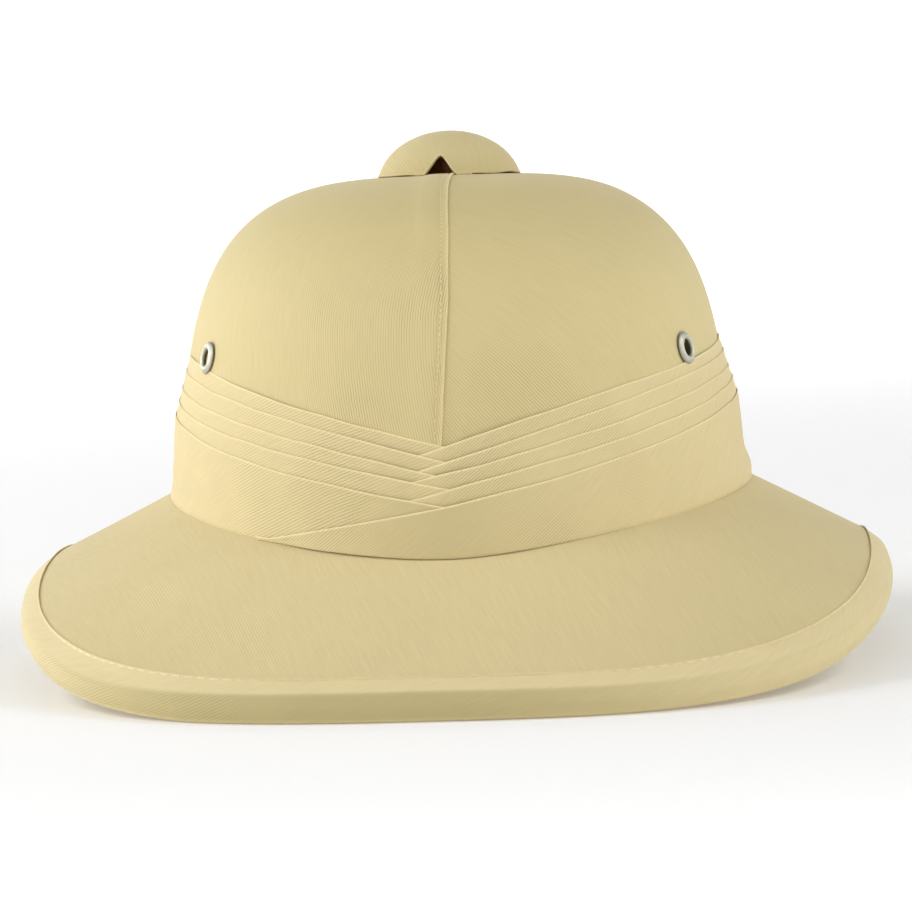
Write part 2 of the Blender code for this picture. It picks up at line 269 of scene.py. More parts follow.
# Where something sets in: the value at which it begins, the one from which it is full, their unit, and how much
# it then is. The unit is MM for a length, and 1 for degrees, a sine, a share, or the band's turn in radians.
FADES = {
    "seam_height": (68, 77, MM, 0.65),
    # Painted shade, darker towards the top of the crown.
    "crown_soiled": (108, 150, MM, 0.3),
    "cover_depth_aside": (0.72, 0.95, 1, 0.15),
    "brim_calm": (-66, -20, MM, 0.95),
    "brim_calm_far_left": (-84, -104, MM, 0.9),
    "brim_calm_inwards": (0.4, 0.7, 1, 0.9),
    # Painted shade on the brim's cover towards both sides.
    "brim_soiled": (40, 110, MM, 0.2),
    "binding_face": (0.64, 0.92, 1, 1.0),
    "binding_calm": (-24, -8, 1, 0.75),
    "binding_calm_aside": (0.64, 0.82, 1, 0.97),
    "band_flatter": (0.35, 0.9, 1, 0.45),
    "band_crossing": (5.85, 6.15, 1, 1.45),
    # The painted highlight on the folds' edges grows towards the front.
    "band_rubbed": (0.2, 0.8, 1, 0.75),
    "band_calm": (0.5, 0.7, 1, 0.95),
    "tail_rise": (6.1, 6.25, 1, 0.3 * MM),
    "tail_gap": (6.2, 6.5, 1, 0.4 * MM),
    "cap_calm": (-17, -7, MM, 0.95),
}
# The least height of a lapped seam and the least painted highlight on a fold's edge, as shares of the most.
SEAM_LEAST, PAINTED_HIGHLIGHT_LEAST = 0.35, 0.25
# The twill's relief: how much its ribs, the round of their yarns, its slubs and its grain add to it.
RELIEF = {"rib": 0.62, "yarn": 0.2, "slub": 0.35, "grain": 0.12}
# The twill's shade: how much painted shade its grooves take away and its ribs give back, and how far slubs
# and mottling vary it.
SHADE = {"plain": 0.93, "groove": 0.46, "rib": 0.12, "slub": 0.16, "mottle": 0.07}
# How deep the covers lie under the binding, as a share of their cloth.
COVER_DEPTH = 0.21
# The crown's cover is stretched thinner than the rest, by this share.
PANEL_CLOTH = 0.55
# How far apart the points of the covers' and the binding's sections lie.
COVER_SPACING = 2.6 * MM
BINDING_SPACING = 1.3 * MM
# How far the pith lies inside the crown's form.
PITH_INSET = 1.3 * MM
# The hole that is drilled for an eyelet, and how the cover opens round it.
DRILL_RADIUS, DRILL_DEPTH = 3.3 * MM, 40 * MM
OPENING, OPENING_REACH, NEAR_EYELET = 3.15 * MM, 4.7 * MM, 20 * MM
# Where the ribbons begin and end, in degrees round the crown from the front, and how far down they reach.
RIBBON_START, RIBBON_END, TAIL_END = -9.0, 369.0, 390.7
RIBBON_DEPTH = 12 * MM
# How steeply the last ribbon's end falls beyond the front.
TAIL_FALL = 19 * MM
# The gap between the ribbons and the brim, and where the tail lifts off it: the middle, in radians, the reach
# and the height.
BRIM_GAP = 0.2 * MM
TAIL_CREASE = (6.73, 0.06, 0.35 * MM)
# The cap: how square its dome is, how thick its sheet is, and how far it sinks on the crown.
CAP_FULLNESS = 2.05
CAP_SHEET = 1.3 * MM
CAP_SINK = 0.3 * MM
# How far a seam's stitches lie beside the seam and over the crown, and where they end below and near the cap.
SEAM_ASIDE, SEAM_LIFT, SEAM_FOOT, SEAM_TO_CAP = 2.1 * MM, 0.5 * MM, 50 * MM, 1.5 * MM
# How far the binding's stitches lie inside its edge and over it.
EDGE_ASIDE, EDGE_LIFT = 0.6 * MM, 0.05 * MM

# Each light on the helmet: where it stands and its size, in metres, the setting for its power, and its share.
LIGHTS = table(
    "name place size power share",
    ("left_low", (-2.2, -0.1, 0.35), (1.4, 0.7), "left_power", 0.56),
    ("left_high", (-1.6, -0.6, 1.5), (1.4, 1.0), "left_power", 1.0),
    ("right_low", (2.2, -0.1, 0.35), (1.4, 0.7), "right_power", 0.25),
    ("right_high", (1.6, -0.6, 1.5), (1.4, 1.0), "right_power", 1.0),
    ("overhead", (0.0, 0.0, 2.2), (1.6, 1.6), "top_power", 1.0),
    ("rear_left", (-1.6, 1.2, 0.7), (1.2, 1.0), "rear_power", 1.0),
)
# Where those lights aim, how bright the air all round is, and how far to the left the camera aims.
LIGHT_AIM = (0, 0, 0.08)
WORLD_STRENGTH = 0.02
AIM_ACROSS = -1.06 * MM


# ---------------------------------------------------------------- settings

def setting(kind, scale=1, **fixed):
    """A function that makes settings of one kind, each from its name, description and default."""
    def make(name, description, default):
        return kind(name=name, description=description, default=default * scale, **fixed)
    return make


length = setting(bpy.props.FloatProperty, MM, unit="LENGTH", precision=5)
angle = setting(bpy.props.FloatProperty, math.radians(1), subtype="ANGLE")
power = setting(bpy.props.FloatProperty, unit="POWER")
number = setting(bpy.props.FloatProperty, precision=3)
colour = setting(bpy.props.FloatVectorProperty, size=3, min=0, max=1, subtype="COLOR")


class HelmetSizes(bpy.types.PropertyGroup):
    brim_width: length("Brim width", "Width of the brim over its binding", 281)
    brim_length: length("Brim length", "Length of the brim over its binding", 352.6)
    brim_squareness: number("Brim squareness", "Power of the brim's outline: 2 is an ellipse", 2.78)
    side_arch: length("Side arch", "How far the brim's sides rise from the floor", 23.7)
    arch_power: number("Arch power", "How late the arch of the sides begins", 2.1)
    resting_sine: number("Resting share", "Share of the width that lies flat in front and behind", 0.27)
    right_sag: length("Sag on the right", "How much lower the right side arches than the left", 2.0)
    edge_height: length("Edge height", "Height of the brim's edge face", 9.6)
    edge_tilt: length("Edge tilt", "How far the foot of the edge face lies inside its ridge", 2.0)
    edge_bulge: length("Edge bulge", "How far the edge face bulges", 1.1)
    right_bulge: length("Bulge on the right", "How much more the edge face bulges on the right", 1.5)
    crown_width: length("Crown width", "Width of the crown at the brim", 186.8)
    crown_length: length("Crown length", "Length of the crown at the brim", 225.6)
    crown_top: length("Crown top", "Height of the crown over the floor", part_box("crown_shell")[1].z / MM)
    oval_squareness: number("Crown squareness", "Power of the crown's oval", 2.1)
    dome_shoulder: number("Dome shoulder", "How square the dome turns over", 3.66)
    dome_flatness: number("Dome flatness", "How flat the top of the dome is", 4.27)
    dome_taper: number("Dome taper", "How much narrower the crown gets towards its top", 0.12)
    junction_front: length("Junction in front", "Height of the brim's root in front", 41.2)
    junction_side: length("Junction at the sides", "Height of the brim's root at the sides", 53.9)
    junction_power: number("Junction power", "How the brim's root rises to the sides", 1.08)
    ridge_drop: length("Ridge drop", "How far the edge's ridge lies below the line of the brim's cover", 1.3)
    left_ridge_drop: length("Left ridge drop", "How much lower the ridge lies at the left front", 2.2)
    left_bulge: length("Left bulge", "How much more the edge face bulges at the left front", 0.9)
    junction_softness: number("Junction softness", "How level the brim's root is in front", 0.15)
    wall: length("Wall", "Thickness of the crown's wall", 8)
    underside_drop: length("Underside drop", "Depth of the brim at its root", 4.3)
    inner_round: length("Inner round", "Rounding of the edge of the head opening", 3)
    vent_radius: length("Vent radius", "Radius of the hole under the cap", 11)
    cloth: length("Cloth", "Thickness of the cover cloth", 0.5)
    binding_top: length("Binding on top", "Width of the binding on the brim", 6.6)
    binding_under: length("Binding below", "Width of the binding's slanted part below", 6)
    binding_land: length("Binding land", "Width of the flat strip that rests", 5)
    band_thickness: length("Band thickness", "How far the band's foot stands out of the crown", 4)
    fold_layer: length("Fold layer", "Depth of each layer of the band", 0.42)
    cap_radius: length("Cap radius", "Radius of the vent cap", 23.6)
    cap_height: length("Cap height", "Height of the vent cap", 15)
    cap_centre_depth: length("Cap centre depth", "Depth of the cap's ellipse centre below its rim", 4)
    notch_width: length("Notch width", "Width of the cap's notch", 10.7)
    notch_height: length("Notch height", "Height of the cap's notch", 6.6)
    notch_angle: angle("Notch angle", "Turn of the cap's notch about the axis", -4)
    band_squeeze: number("Band squeeze", "Share by which the band's layers are flatter at the sides", 0.33)
    eyelet_radius: length("Eyelet radius", "Outer radius of an eyelet", 5.25)
    eyelet_hole: length("Eyelet hole", "Radius of an eyelet's hole", 2.65)
    seam_pitch: length("Seam stitch pitch", "Distance between the stitches of the crown's seams", 1.9)
    binding_pitch: length("Binding stitch pitch", "Distance between the stitches of the binding", 4.3)
    thread_radius: length("Thread radius", "Half the width of a stitch", 0.24)


class HelmetCloth(bpy.types.PropertyGroup):
    crown_colour: colour("Crown", "Colour of the crown's cover", (0.69, 0.575, 0.288))
    brim_colour: colour("Brim", "Colour of the brim's cover", (0.725, 0.605, 0.318))
    binding_colour: colour("Binding", "Colour of the binding", (0.78, 0.655, 0.36))
    band_colour: colour("Band", "Colour of the pleated band", (0.735, 0.61, 0.325))
    cap_colour: colour("Cap", "Colour of the vent cap", (0.645, 0.54, 0.275))
    thread_colour: colour("Thread", "Colour of the binding's stitches", (0.93, 0.84, 0.58))
    faded_thread_colour: colour("Faded thread", "Colour of the same stitches in front", (0.775, 0.65, 0.36))
    seam_thread_colour: colour("Seam thread", "Colour of the crown's stitches", (0.82, 0.71, 0.43))
    pith_colour: colour("Pith", "Colour of the bare wall inside", (0.66, 0.54, 0.34))
    dark_colour: colour("Dark", "Colour of the post and the cap's inside", (0.55, 0.27, 0.11))
    metal_colour: colour("Metal", "Colour of the eyelets", (0.60, 0.60, 0.50))
    wale_pitch: length("Wale pitch", "Distance between the ribs of the twill", 0.92)
    wale_depth: length("Wale depth", "Height of the ribs of the twill", 0.10)


class HelmetStage(bpy.types.PropertyGroup):
    camera_distance: length("Camera distance", "From the helmet's axis to the camera", 1212.1)
    camera_height: length("Camera height", "Height of the camera over the floor", 155.2)
    camera_yaw: angle("Camera yaw", "How far the camera stands to the helmet's right", 3.62)
    camera_roll: angle("Camera roll", "Turn of the camera about its own axis", -2.04)
    camera_lens: number("Lens", "Focal length in mm on a 36 mm sensor", 143.5)
    aim_height: length("Aim height", "Height on the axis that the camera aims at", 63.4)
    floor_colour: colour("Floor", "Colour of the floor and the backdrop", (0.9, 0.9, 0.9))
    left_power: power("Left lights", "Power of the light high on the left", 19.0)
    right_power: power("Right lights", "Power of the light high on the right", 15.8)
    top_power: power("Overhead light", "Power of the light above", 6.5)
    rear_power: power("Rear light", "Power of the light behind on the left", 7.5)
    floor_power: power("Floor light", "Power of the light on the floor in front", 1.9)
    back_power: power("Backdrop light", "Power of the light on the wall behind", 16.2)
    floor_glow: number("Floor glow", "How much the floor and the backdrop glow by themselves", 0.146)


# ---------------------------------------------------------------- surfaces

def oval(phi, half_width, half_length, squareness):
    """Distance from the axis to a superellipse, at the angle phi."""
    across = np.abs(np.sin(phi)) / half_width
    along = np.abs(np.cos(phi)) / half_length
    return (across ** squareness + along ** squareness) ** (-1 / squareness)


def pair(r, z):
    """Points (r, z) of a section, with the pair as the last axis."""
    return np.stack(np.broadcast_arrays(r, z), axis=-1).astype(float)


def in_space(phi, section):
    """Points (r, z) turned to their angles."""
    r, z = section[..., 0], section[..., 1]
    return np.stack([r * np.sin(phi), -r * np.cos(phi), z + 0 * phi], axis=-1)


def unit(vectors):
    return vectors / np.linalg.norm(vectors, axis=-1, keepdims=True)


def right_of(direction):
    return np.stack([direction[..., 1], -direction[..., 0]], axis=-1)


def offset_path(points, distance):
    """The open path moved sideways to its right by a distance, with mitred corners."""
    normals = [right_of(unit(end - start)) for start, end in zip(points, points[1:])]
    moved = [points[0] + normals[0] * distance]
    for corner, before, after in zip(points[1:-1], normals, normals[1:]):
        mitre = unit(before + after)
        moved.append(corner + mitre * (distance / (mitre * after).sum(axis=-1, keepdims=True)))
    return moved + [points[-1] + normals[-1] * distance]


def rounded(points, reaches, steps=5):
    """The path with its inner corners turned into curves, which reach some way before and after them."""
    path = [points[0]]
    for before, corner, after, (lead, trail) in zip(points, points[1:], points[2:], reaches):
        start = corner + unit(before - corner) * lead
        end = corner + unit(after - corner) * trail
        for t in np.linspace(0, 1, steps):
            path.append(start * (1 - t) ** 2 + corner * (2 * t * (1 - t)) + end * t ** 2)
    return path + [points[-1]]


def filled(points, spacing):
    """The path with extra points on its long stretches, about a spacing apart."""
    path = [points[0]]
    for start, end in zip(points, points[1:]):
        steps = max(1, round(float(np.linalg.norm(end - start, axis=-1).mean()) / spacing))
        path += [start + (end - start) * ((step + 1) / steps) for step in range(steps)]
    return path


def smoothstep(low, high, x):
    t = np.clip((x - low) / (high - low), 0, 1)
    return t * t * (3 - 2 * t)


def fade(name, x):
    """How far something that sets in somewhere has come at x."""
    low, high, scale, most = FADES[name]
    return most * smoothstep(low * scale, high * scale, x)


def eased(x, rows, key, value):
    """The value column of a table at x, with an eased step from each row to the next."""
    known, values = column_of(rows, key), column_of(rows, value)
    row = np.clip(np.searchsorted(known, x, side="right") - 1, 0, len(known) - 2)
    share = smoothstep(0, 1, (x - known[row]) / (known[row + 1] - known[row]))
    return values[row] + (values[row + 1] - values[row]) * share


def from_front(phi):
    """The angle from the front in degrees, between -180 and 180."""
    return (np.degrees(phi) + 180) % 360 - 180


def unevenness(points, size, seed, waves=9):
    """A smooth random height at each point, mostly between -1 and 1, with lumps about a size wide."""
    random = np.random.default_rng(seed)
    total = np.zeros(points.shape[:-1])
    for _ in range(waves):
        direction = unit(random.normal(size=3)) * (TURN / (size * random.uniform(1.5, 3.5)))
        total += np.sin(points @ direction + random.uniform(0, TURN))
    return total / math.sqrt(waves)


def lumps(points, name):
    """How far each point of a piece stands out of its smooth surface."""
    depth, size, seed = LUMPS[name]
    return depth * MM * unevenness(points, size * MM, seed)


def around_angle(phi, middle, reach, power=2):
    """1 at an angle from the front, fading away on both sides of it."""
    return np.exp(-(((from_front(phi) - middle) / reach) ** power))


class Form:
    """The helmet's surfaces as formulas. Every size of the property group is an attribute here."""

    def __init__(self, sizes):
        for name in HelmetSizes.__annotations__:
            setattr(self, name, getattr(sizes, name))

    def arch(self, phi):
        lift = np.clip(np.abs(np.sin(phi)) - self.resting_sine, 0, None) / (1 - self.resting_sine)
        return self.side_arch * lift ** self.arch_power - self.right_sag * np.clip(np.sin(phi), 0, 1) ** 4

    def foot_height(self, phi):
        return np.maximum(self.arch(phi) - eased(from_front(phi), EDGE_FOOT, "angle", "drop") * MM, 0)

    def junction_height(self, phi):
        soft = self.junction_softness
        share = (np.sqrt(np.sin(phi) ** 2 + soft ** 2) - soft) / (math.sqrt(1 + soft ** 2) - soft)
        return self.junction_front + (self.junction_side - self.junction_front) * share ** self.junction_power

    def crown_oval(self, phi, inset=0.0):
        half_width = self.crown_width / 2 - inset
        return oval(phi, half_width, self.crown_length / 2 - inset, self.oval_squareness)

    def dome_share(self, u):
        u = np.clip(u, 0, 1)
        return (1 - u ** self.dome_flatness) ** (1 / self.dome_shoulder) * (1 - self.dome_taper * u)

    def crown_point(self, phi, u, inset=0.0):
        base = self.junction_height(phi)
        z = base + (self.crown_top - inset - base) * u
        return pair(self.crown_oval(phi, inset) * self.dome_share(u), z)

    def crown_radius(self, phi, z):
        base = self.junction_height(phi)
        return self.crown_oval(phi) * self.dome_share((z - base) / (self.crown_top - base))

    def crown_rows(self, count, inset=0.0):
        """Shares of the crown's height, evenly spaced along its wall from the brim to the vent hole."""
        lean = np.linspace(0, math.pi / 2, 4000)
        u = np.sin(lean) ** (2 / self.dome_flatness)
        wall = self.crown_point(math.pi / 4, u, inset)
        kept = wall[:, 0] > self.vent_radius
        along = np.concatenate([[0], np.cumsum(np.linalg.norm(np.diff(wall, axis=0), axis=1))])
        return np.interp(np.linspace(0, along[kept][-1], count), along, u)

    def crown_seat(self, phi, z):
        """The point on the crown at an angle and height, and the direction straight out from it."""
        step = 0.5 * MM
        turn = step / self.crown_radius(phi, z)
        middle = in_space(phi, pair(self.crown_radius(phi, z), z))
        beside = in_space(phi + turn, pair(self.crown_radius(phi + turn, z), z))
        above = in_space(phi, pair(self.crown_radius(phi, z + step), z + step))
        return middle, unit(np.cross(beside - middle, above - middle))

    def edge_corners(self, phi):
        """The brim's edge with its binding on, from the top strip's inner end to the under strip's."""
        low = self.arch(phi)
        radius = oval(phi, self.brim_width / 2, self.brim_length / 2, self.brim_squareness)
        ridge = pair(radius, low + self.edge_height)
        foot = pair(radius - self.edge_tilt, self.foot_height(phi))
        height = self.junction_height(phi)
        junction = pair(self.crown_oval(phi) + self.band_thickness, height)
        land = foot - pair(self.binding_land, 0)
        hollow = pair(self.crown_oval(phi, self.wall) + self.inner_round, height - self.underside_drop)
        top_end = ridge + unit(junction - ridge) * self.binding_top
        under_end = land + unit(hollow - land) * self.binding_under
        lower = self.left_ridge_drop * around_angle(phi, *LOW_RIDGE)
        sunk = ridge - pair(0, self.ridge_drop * (0.2 + 0.8 * np.abs(np.sin(phi))) + lower)
        return [top_end, sunk, foot, land, under_end], junction, hollow

    def edge_belly(self, phi):
        """The middle of the brim's edge face, which bulges, more so on the right."""
        _, ridge, foot, _, _ = self.edge_corners(phi)[0]
        right = self.right_bulge * np.clip(np.sin(phi), 0, 1)
        left = self.left_bulge * around_angle(phi, *FULL_LEFT)
        return (ridge + foot) / 2 + pair(self.edge_bulge + right + left, 0)

    def cover_edge(self, phi):
        """The brim's edge under the binding, where the cover cloths lie, deeper at the sides."""
        depth = self.cloth * (COVER_DEPTH + fade("cover_depth_aside", np.abs(np.sin(phi))))
        return offset_path(self.edge_corners(phi)[0], np.asarray(depth)[..., None])

    def brim_surface(self, phi, radius):
        """Height of the brim's cover at a distance from the axis."""
        junction = self.edge_corners(phi)[1]
        start = self.cover_edge(phi)[0]
        share = (radius - start[..., 0]) / (junction[..., 0] - start[..., 0])
        return start[..., 1] + (junction[..., 1] - start[..., 1]) * share

    def seam_angle(self, z):
        aside = np.interp(z, column_of(SEAM_LEAN, "height") * MM, column_of(SEAM_LEAN, "aside") * MM)
        radius = np.maximum(self.crown_radius(0.0, z), self.vent_radius)
        return np.arcsin(np.clip(aside / radius, -1, 1))


def helmet_form():
    return Form(bpy.context.scene.helmet_sizes)


# ---------------------------------------------------------------- meshes

def turned_weave(across, up, wale):
    """Cloth coordinates in metres, turned so that the twill's ribs lean by the angle wale."""
    turn = math.radians(45) - np.radians(wale)
    return np.stack([
        across * np.cos(turn) - up * np.sin(turn),
        across * np.sin(turn) + up * np.cos(turn),
    ], axis=-1)


def path_lengths(points, axis):
    """Distance along rows or columns of points, from the first."""
    steps = np.linalg.norm(np.diff(points, axis=axis), axis=-1)
    zero = np.zeros_like(np.take(steps, [0], axis=axis))
    return np.concatenate([zero, np.cumsum(steps, axis=axis)], axis=axis)


def add_object(name, data):
    thing = bpy.data.objects.new(name, data)
    bpy.context.scene.collection.objects.link(thing)
    return thing


class Sheetwork:
    """Collects grids of quads into one mesh, with cloth coordinates and three marks at each point.

    The marks go from 0 to 1: the first is a painted highlight on the edges of cloth and painted shade on an
    eyelet's metal, calm is where the weave hardly shows, and the last is painted shade on the cloth.
    """

    def __init__(self):
        self.points = []
        self.marks = {"rubbed": [], "calm": [], "soiled": []}
        self.faces = []
        self.weave = []

    def add_points(self, points, marks=None):
        first = sum(len(part) for part in self.points)
        self.points.append(points.reshape(-1, 3))
        for name, values in self.marks.items():
            values.append(np.broadcast_to((marks or {}).get(name, 0.0), points.shape[:-1]).ravel())
        return first

    def grid(self, rows, weave, around=False, closed=False, capped=False, without=(), **marks):
        """Rows go up and columns to the right, seen from outside. Both may close on themselves."""
        height, width = rows.shape[:2]
        first = self.add_points(rows, marks)
        row, column = np.meshgrid(
            np.arange(height if closed else height - 1),
            np.arange(width if around else width - 1),
            indexing="ij",
        )
        row, column = row.ravel(), column.ravel()
        kept = ~np.isin(row * width + column, [r * width + c for r, c in without])
        row, column = row[kept], column[kept]
        corners = [(row, column), (row, column + 1), (row + 1, column + 1), (row + 1, column)]
        quads = np.stack([first + (r % height) * width + c % width for r, c in corners], axis=-1)
        spots = np.stack([weave[r % len(weave), c % weave.shape[1]] for r, c in corners], axis=1)
        self.faces += quads.tolist()
        self.weave.append(spots.reshape(-1, 2))
        if capped:
            for end, order in ((0, 1), (width - 1, -1)):
                ring = (first + np.arange(height) * width + end)[::order]
                self.faces.append(ring.tolist())
                self.weave.append(weave[:height, end][::order])
        return first

    def fan(self, first, count, pole, weave_ring, weave_pole, inwards=False):
        """Closes a ring of points with triangles to a pole."""
        top = self.add_points(np.asarray(pole, float).reshape(1, 3))
        for column in range(count):
            following = (column + 1) % count
            face = [first + column, first + following, top]
            spots = [weave_ring[column], weave_ring[following], weave_pole]
            if inwards:
                face, spots = face[::-1], spots[::-1]
            self.faces.append(face)
            self.weave.append(np.array(spots))

    def finish(self, name, material, sharp_degrees=35):
        mesh = bpy.data.meshes.new(name)
        mesh.from_pydata(np.concatenate(self.points).tolist(), [], self.faces)
        layer = mesh.uv_layers.new(name="weave")
        layer.data.foreach_set("uv", np.concatenate(self.weave).astype(np.float32).ravel())
        for mark, values in self.marks.items():
            attribute = mesh.attributes.new(mark, "FLOAT", "POINT")
            attribute.data.foreach_set("value", np.concatenate(values).astype(np.float32))
        mesh.shade_smooth()
        mesh.set_sharp_from_angle(angle=math.radians(sharp_degrees))
        mesh.materials.append(material)
        return add_object(name, mesh)


def thicken(piece, thickness):
    """Gives a sheet its thickness, inwards."""
    solidify = piece.modifiers.new("thickness", "SOLIDIFY")
    solidify.thickness = thickness
    solidify.offset = -1
    settle(piece)


def settle(piece):
    """Turns a piece and its modifiers into a plain mesh."""
    evaluated = piece.evaluated_get(bpy.context.evaluated_depsgraph_get())
    mesh = bpy.data.meshes.new_from_object(evaluated)
    piece.modifiers.clear()
    old = piece.data
    piece.data = mesh
    bpy.data.meshes.remove(old)
    mesh.name = piece.name


def drill(piece, form):
    """Cuts the eyelets' holes through a piece."""
    drills = []
    for place in EYELETS:
        seat, outwards = form.crown_seat(math.radians(place["angle"]), place["height"] * MM)
        shape = bmesh.new()
        bmesh.ops.create_cone(
            shape,
            cap_ends=True,
            segments=40,
            radius1=DRILL_RADIUS,
            radius2=DRILL_RADIUS,
            depth=DRILL_DEPTH,
            matrix=Matrix.Translation(seat) @ Vector(outwards).to_track_quat("Z", "Y").to_matrix().to_4x4(),
        )
        mesh = bpy.data.meshes.new("drill")
        shape.to_mesh(mesh)
        shape.free()
        cutter = add_object("drill", mesh)
        boolean = piece.modifiers.new("hole", "BOOLEAN")
        boolean.operation = "DIFFERENCE"
        boolean.object = cutter
        drills.append(cutter)
    settle(piece)
    for cutter in drills:
        bpy.data.objects.remove(cutter)


def dress(piece, slot, *nodes):
    """Hangs a piece on the root body and hides the solids that it stands for. The slot is not used."""
    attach(piece, "root")
    if nodes:
        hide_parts(*nodes)


# ---------------------------------------------------------------- finishes

class Value:
    """A value in a tree of nodes. Python's operators on it add Math nodes."""

    def __init__(self, tree, socket):
        self.tree = tree
        self.socket = socket

    def node(self, kind, settings=None, sockets=None, output=0):
        """Adds any node: its settings first, then the values or links of its sockets."""
        node = self.tree.nodes.new(kind)
        for name, value in (settings or {}).items():
            setattr(node, name, value)
        for name, value in (sockets or {}).items():
            connect(self.tree, node.inputs[name], value)
        return Value(self.tree, node.outputs[output])

    def maths(self, operation, *values):
        return self.node("ShaderNodeMath", {"operation": operation}, dict(enumerate(values)))

    def __add__(self, other):
        return self.maths("ADD", self, other)

    def __radd__(self, other):
        return self.maths("ADD", other, self)

    def __sub__(self, other):
        return self.maths("SUBTRACT", self, other)

    def __rsub__(self, other):
        return self.maths("SUBTRACT", other, self)

    def __mul__(self, other):
        return self.maths("MULTIPLY", self, other)

    def __rmul__(self, other):
        return self.maths("MULTIPLY", other, self)

    def __truediv__(self, other):
        return self.maths("DIVIDE", self, other)

    def __rtruediv__(self, other):
        return self.maths("DIVIDE", other, self)

    def __pow__(self, other):
        return self.maths("POWER", self, other)

    def fract(self):
        return self.maths("FRACT", self)

    def clamped(self):
        return self.node("ShaderNodeClamp", None, {"Value": self})

    def part(self, name):
        return self.node("ShaderNodeSeparateXYZ", None, {0: self}, name)

    def vector(self, x, y, z=0.0):
        return self.node("ShaderNodeCombineXYZ", None, {"X": x, "Y": y, "Z": z})

    def noise(self, scale, detail=2.0, roughness=0.5):
        """Noise at this place, from 0 to 1."""
        sockets = {"Vector": self, "Scale": scale, "Detail": detail, "Roughness": roughness}
        return self.node("ShaderNodeTexNoise", None, sockets)

    def mixed(self, first, second):
        """From the first colour to the second, by this share."""
        settings = {"data_type": "RGBA", "clamp_factor": True}
        return self.node("ShaderNodeMix", settings, {0: self, 6: first, 7: second}, 2)

    def bump(self, distance, strength):
        return self.node("ShaderNodeBump", None, {"Height": self, "Distance": distance, "Strength": strength})


def connect(tree, socket, value):
    if isinstance(value, Value):
        tree.links.new(value.socket, socket)
    elif hasattr(socket.default_value, "__len__") and len(socket.default_value) == 4 and len(value) == 3:
        socket.default_value = (*value, 1)
    else:
        socket.default_value = value


def shaded(tint, share):
    return tuple(channel * share for channel in tint)


def new_material(name, **fixed):
    """A material with some of its shader's sockets set, and a first value in its tree."""
    material = bpy.data.materials.new(name)
    material.use_nodes = True
    return fed(material, **fixed), Value(material.node_tree, None)


def fed(material, **sockets):
    """Gives a material's Principled shader its values, plain or varying, and returns the material."""
    shader = material.node_tree.nodes["Principled BSDF"]
    for socket, value in sockets.items():
        connect(material.node_tree, shader.inputs[socket.replace("_", " ")], value)
    return material


def cloth_place(value):
    return value.node("ShaderNodeUVMap", {"uv_map": "weave"})


def object_place(value):
    return value.node("ShaderNodeTexCoord", None, None, "Object")


def mark(value, name):
    return value.node("ShaderNodeAttribute", {"attribute_name": name}, None, "Fac")


def twill_finish(name, tint, cloth, fineness=1.0, strength=1.0):
    """Cotton twill: slanted ribs made of short yarn floats, slubs along the ribs, and soft mottling."""
    material, value = new_material(name, Sheen_Weight=0.1, Sheen_Roughness=0.4)
    place = cloth_place(value)
    u, v = place.part("X"), place.part("Y")
    pitch = cloth.wale_pitch * math.sqrt(2) / fineness
    sway = place.noise(70, 2) * 0.9 + place.noise(420, 1) * 0.22
    across = (u - v) / pitch + sway
    along = (u + v) / pitch
    phase = across.fract()
    rib = 1 - (phase * 2 - 1) ** 2
    floats = (along * 1.55 + phase * 0.6).fract()
    float_round = 1 - (floats * 2 - 1) ** 2
    slub = value.vector(across * 1.0, along * 0.07).noise(1.0, 3)
    grain = value.vector(across * 2.2, along * 1.6).noise(1.0, 2)
    spot = object_place(value)
    patches = 0.3 + 0.9 * ((spot.noise(44, 1) - 0.37) * 3.6).clamped()
    shown = strength * patches * (1 - mark(value, "calm"))
    woven = rib * (RELIEF["rib"] + RELIEF["yarn"] * float_round) * shown
    height = woven + slub * RELIEF["slub"] + grain * RELIEF["grain"]
    mottle = spot.noise(28, 4, 0.6)
    # Painted shade in the grooves between the ribs; slubs and mottling vary the cloth's own tone.
    groove = (1 - rib) ** 2
    shade = SHADE["plain"] - (groove * SHADE["groove"] - SHADE["rib"]) * shown
    shade = shade + (slub - 0.5) * SHADE["slub"] + (mottle - 0.5) * SHADE["mottle"]
    cloth_tone = shade.clamped().mixed(shaded(tint, 0.05), shaded(tint, 1.08))
    # Painted shade: where its mark says, the cloth turns darker and loses some blue.
    painted_shade_colour = (tint[0] * 0.33, tint[1] * 0.33, tint[2] * 0.12)
    body = (mark(value, "soiled") * 0.42).mixed(cloth_tone, painted_shade_colour)
    # A painted highlight: where its mark says, the cloth turns paler.
    painted_highlight = (mark(value, "rubbed") * (0.6 + slub * 0.7)).clamped()
    return fed(
        material,
        Base_Color=painted_highlight.mixed(body, tuple(1.26 * c + 0.04 for c in tint)),
        Roughness=0.80 + (slub - 0.5) * 0.2,
        Normal=height.bump(cloth.wale_depth, 0.6),
    )


def thread_finish(name, tint, faded):
    """Cotton thread of one tint over a stretch on the left, mostly of it over a stretch on the right, and of a
    second tint elsewhere.
    """
    material, value = new_material(name, Sheen_Weight=0.1)
    place = object_place(value)
    fibre = place.noise(2600, 3, 0.6)
    x = place.part("X")
    left = ((-45 * MM - x) / (20 * MM)).clamped() * ((x + 125 * MM) / (15 * MM)).clamped()
    right = ((x - 40 * MM) / (12 * MM)).clamped() * ((98 * MM - x) / (12 * MM)).clamped()
    tone = fibre.mixed(shaded(tint, 0.82), shaded(tint, 1.1))
    return fed(
        material,
        Base_Color=(left + right * 0.7).mixed(faded, tone),
        Roughness=0.55 + fibre * 0.3,
        Normal=fibre.bump(0.05 * MM, 0.5),
    )


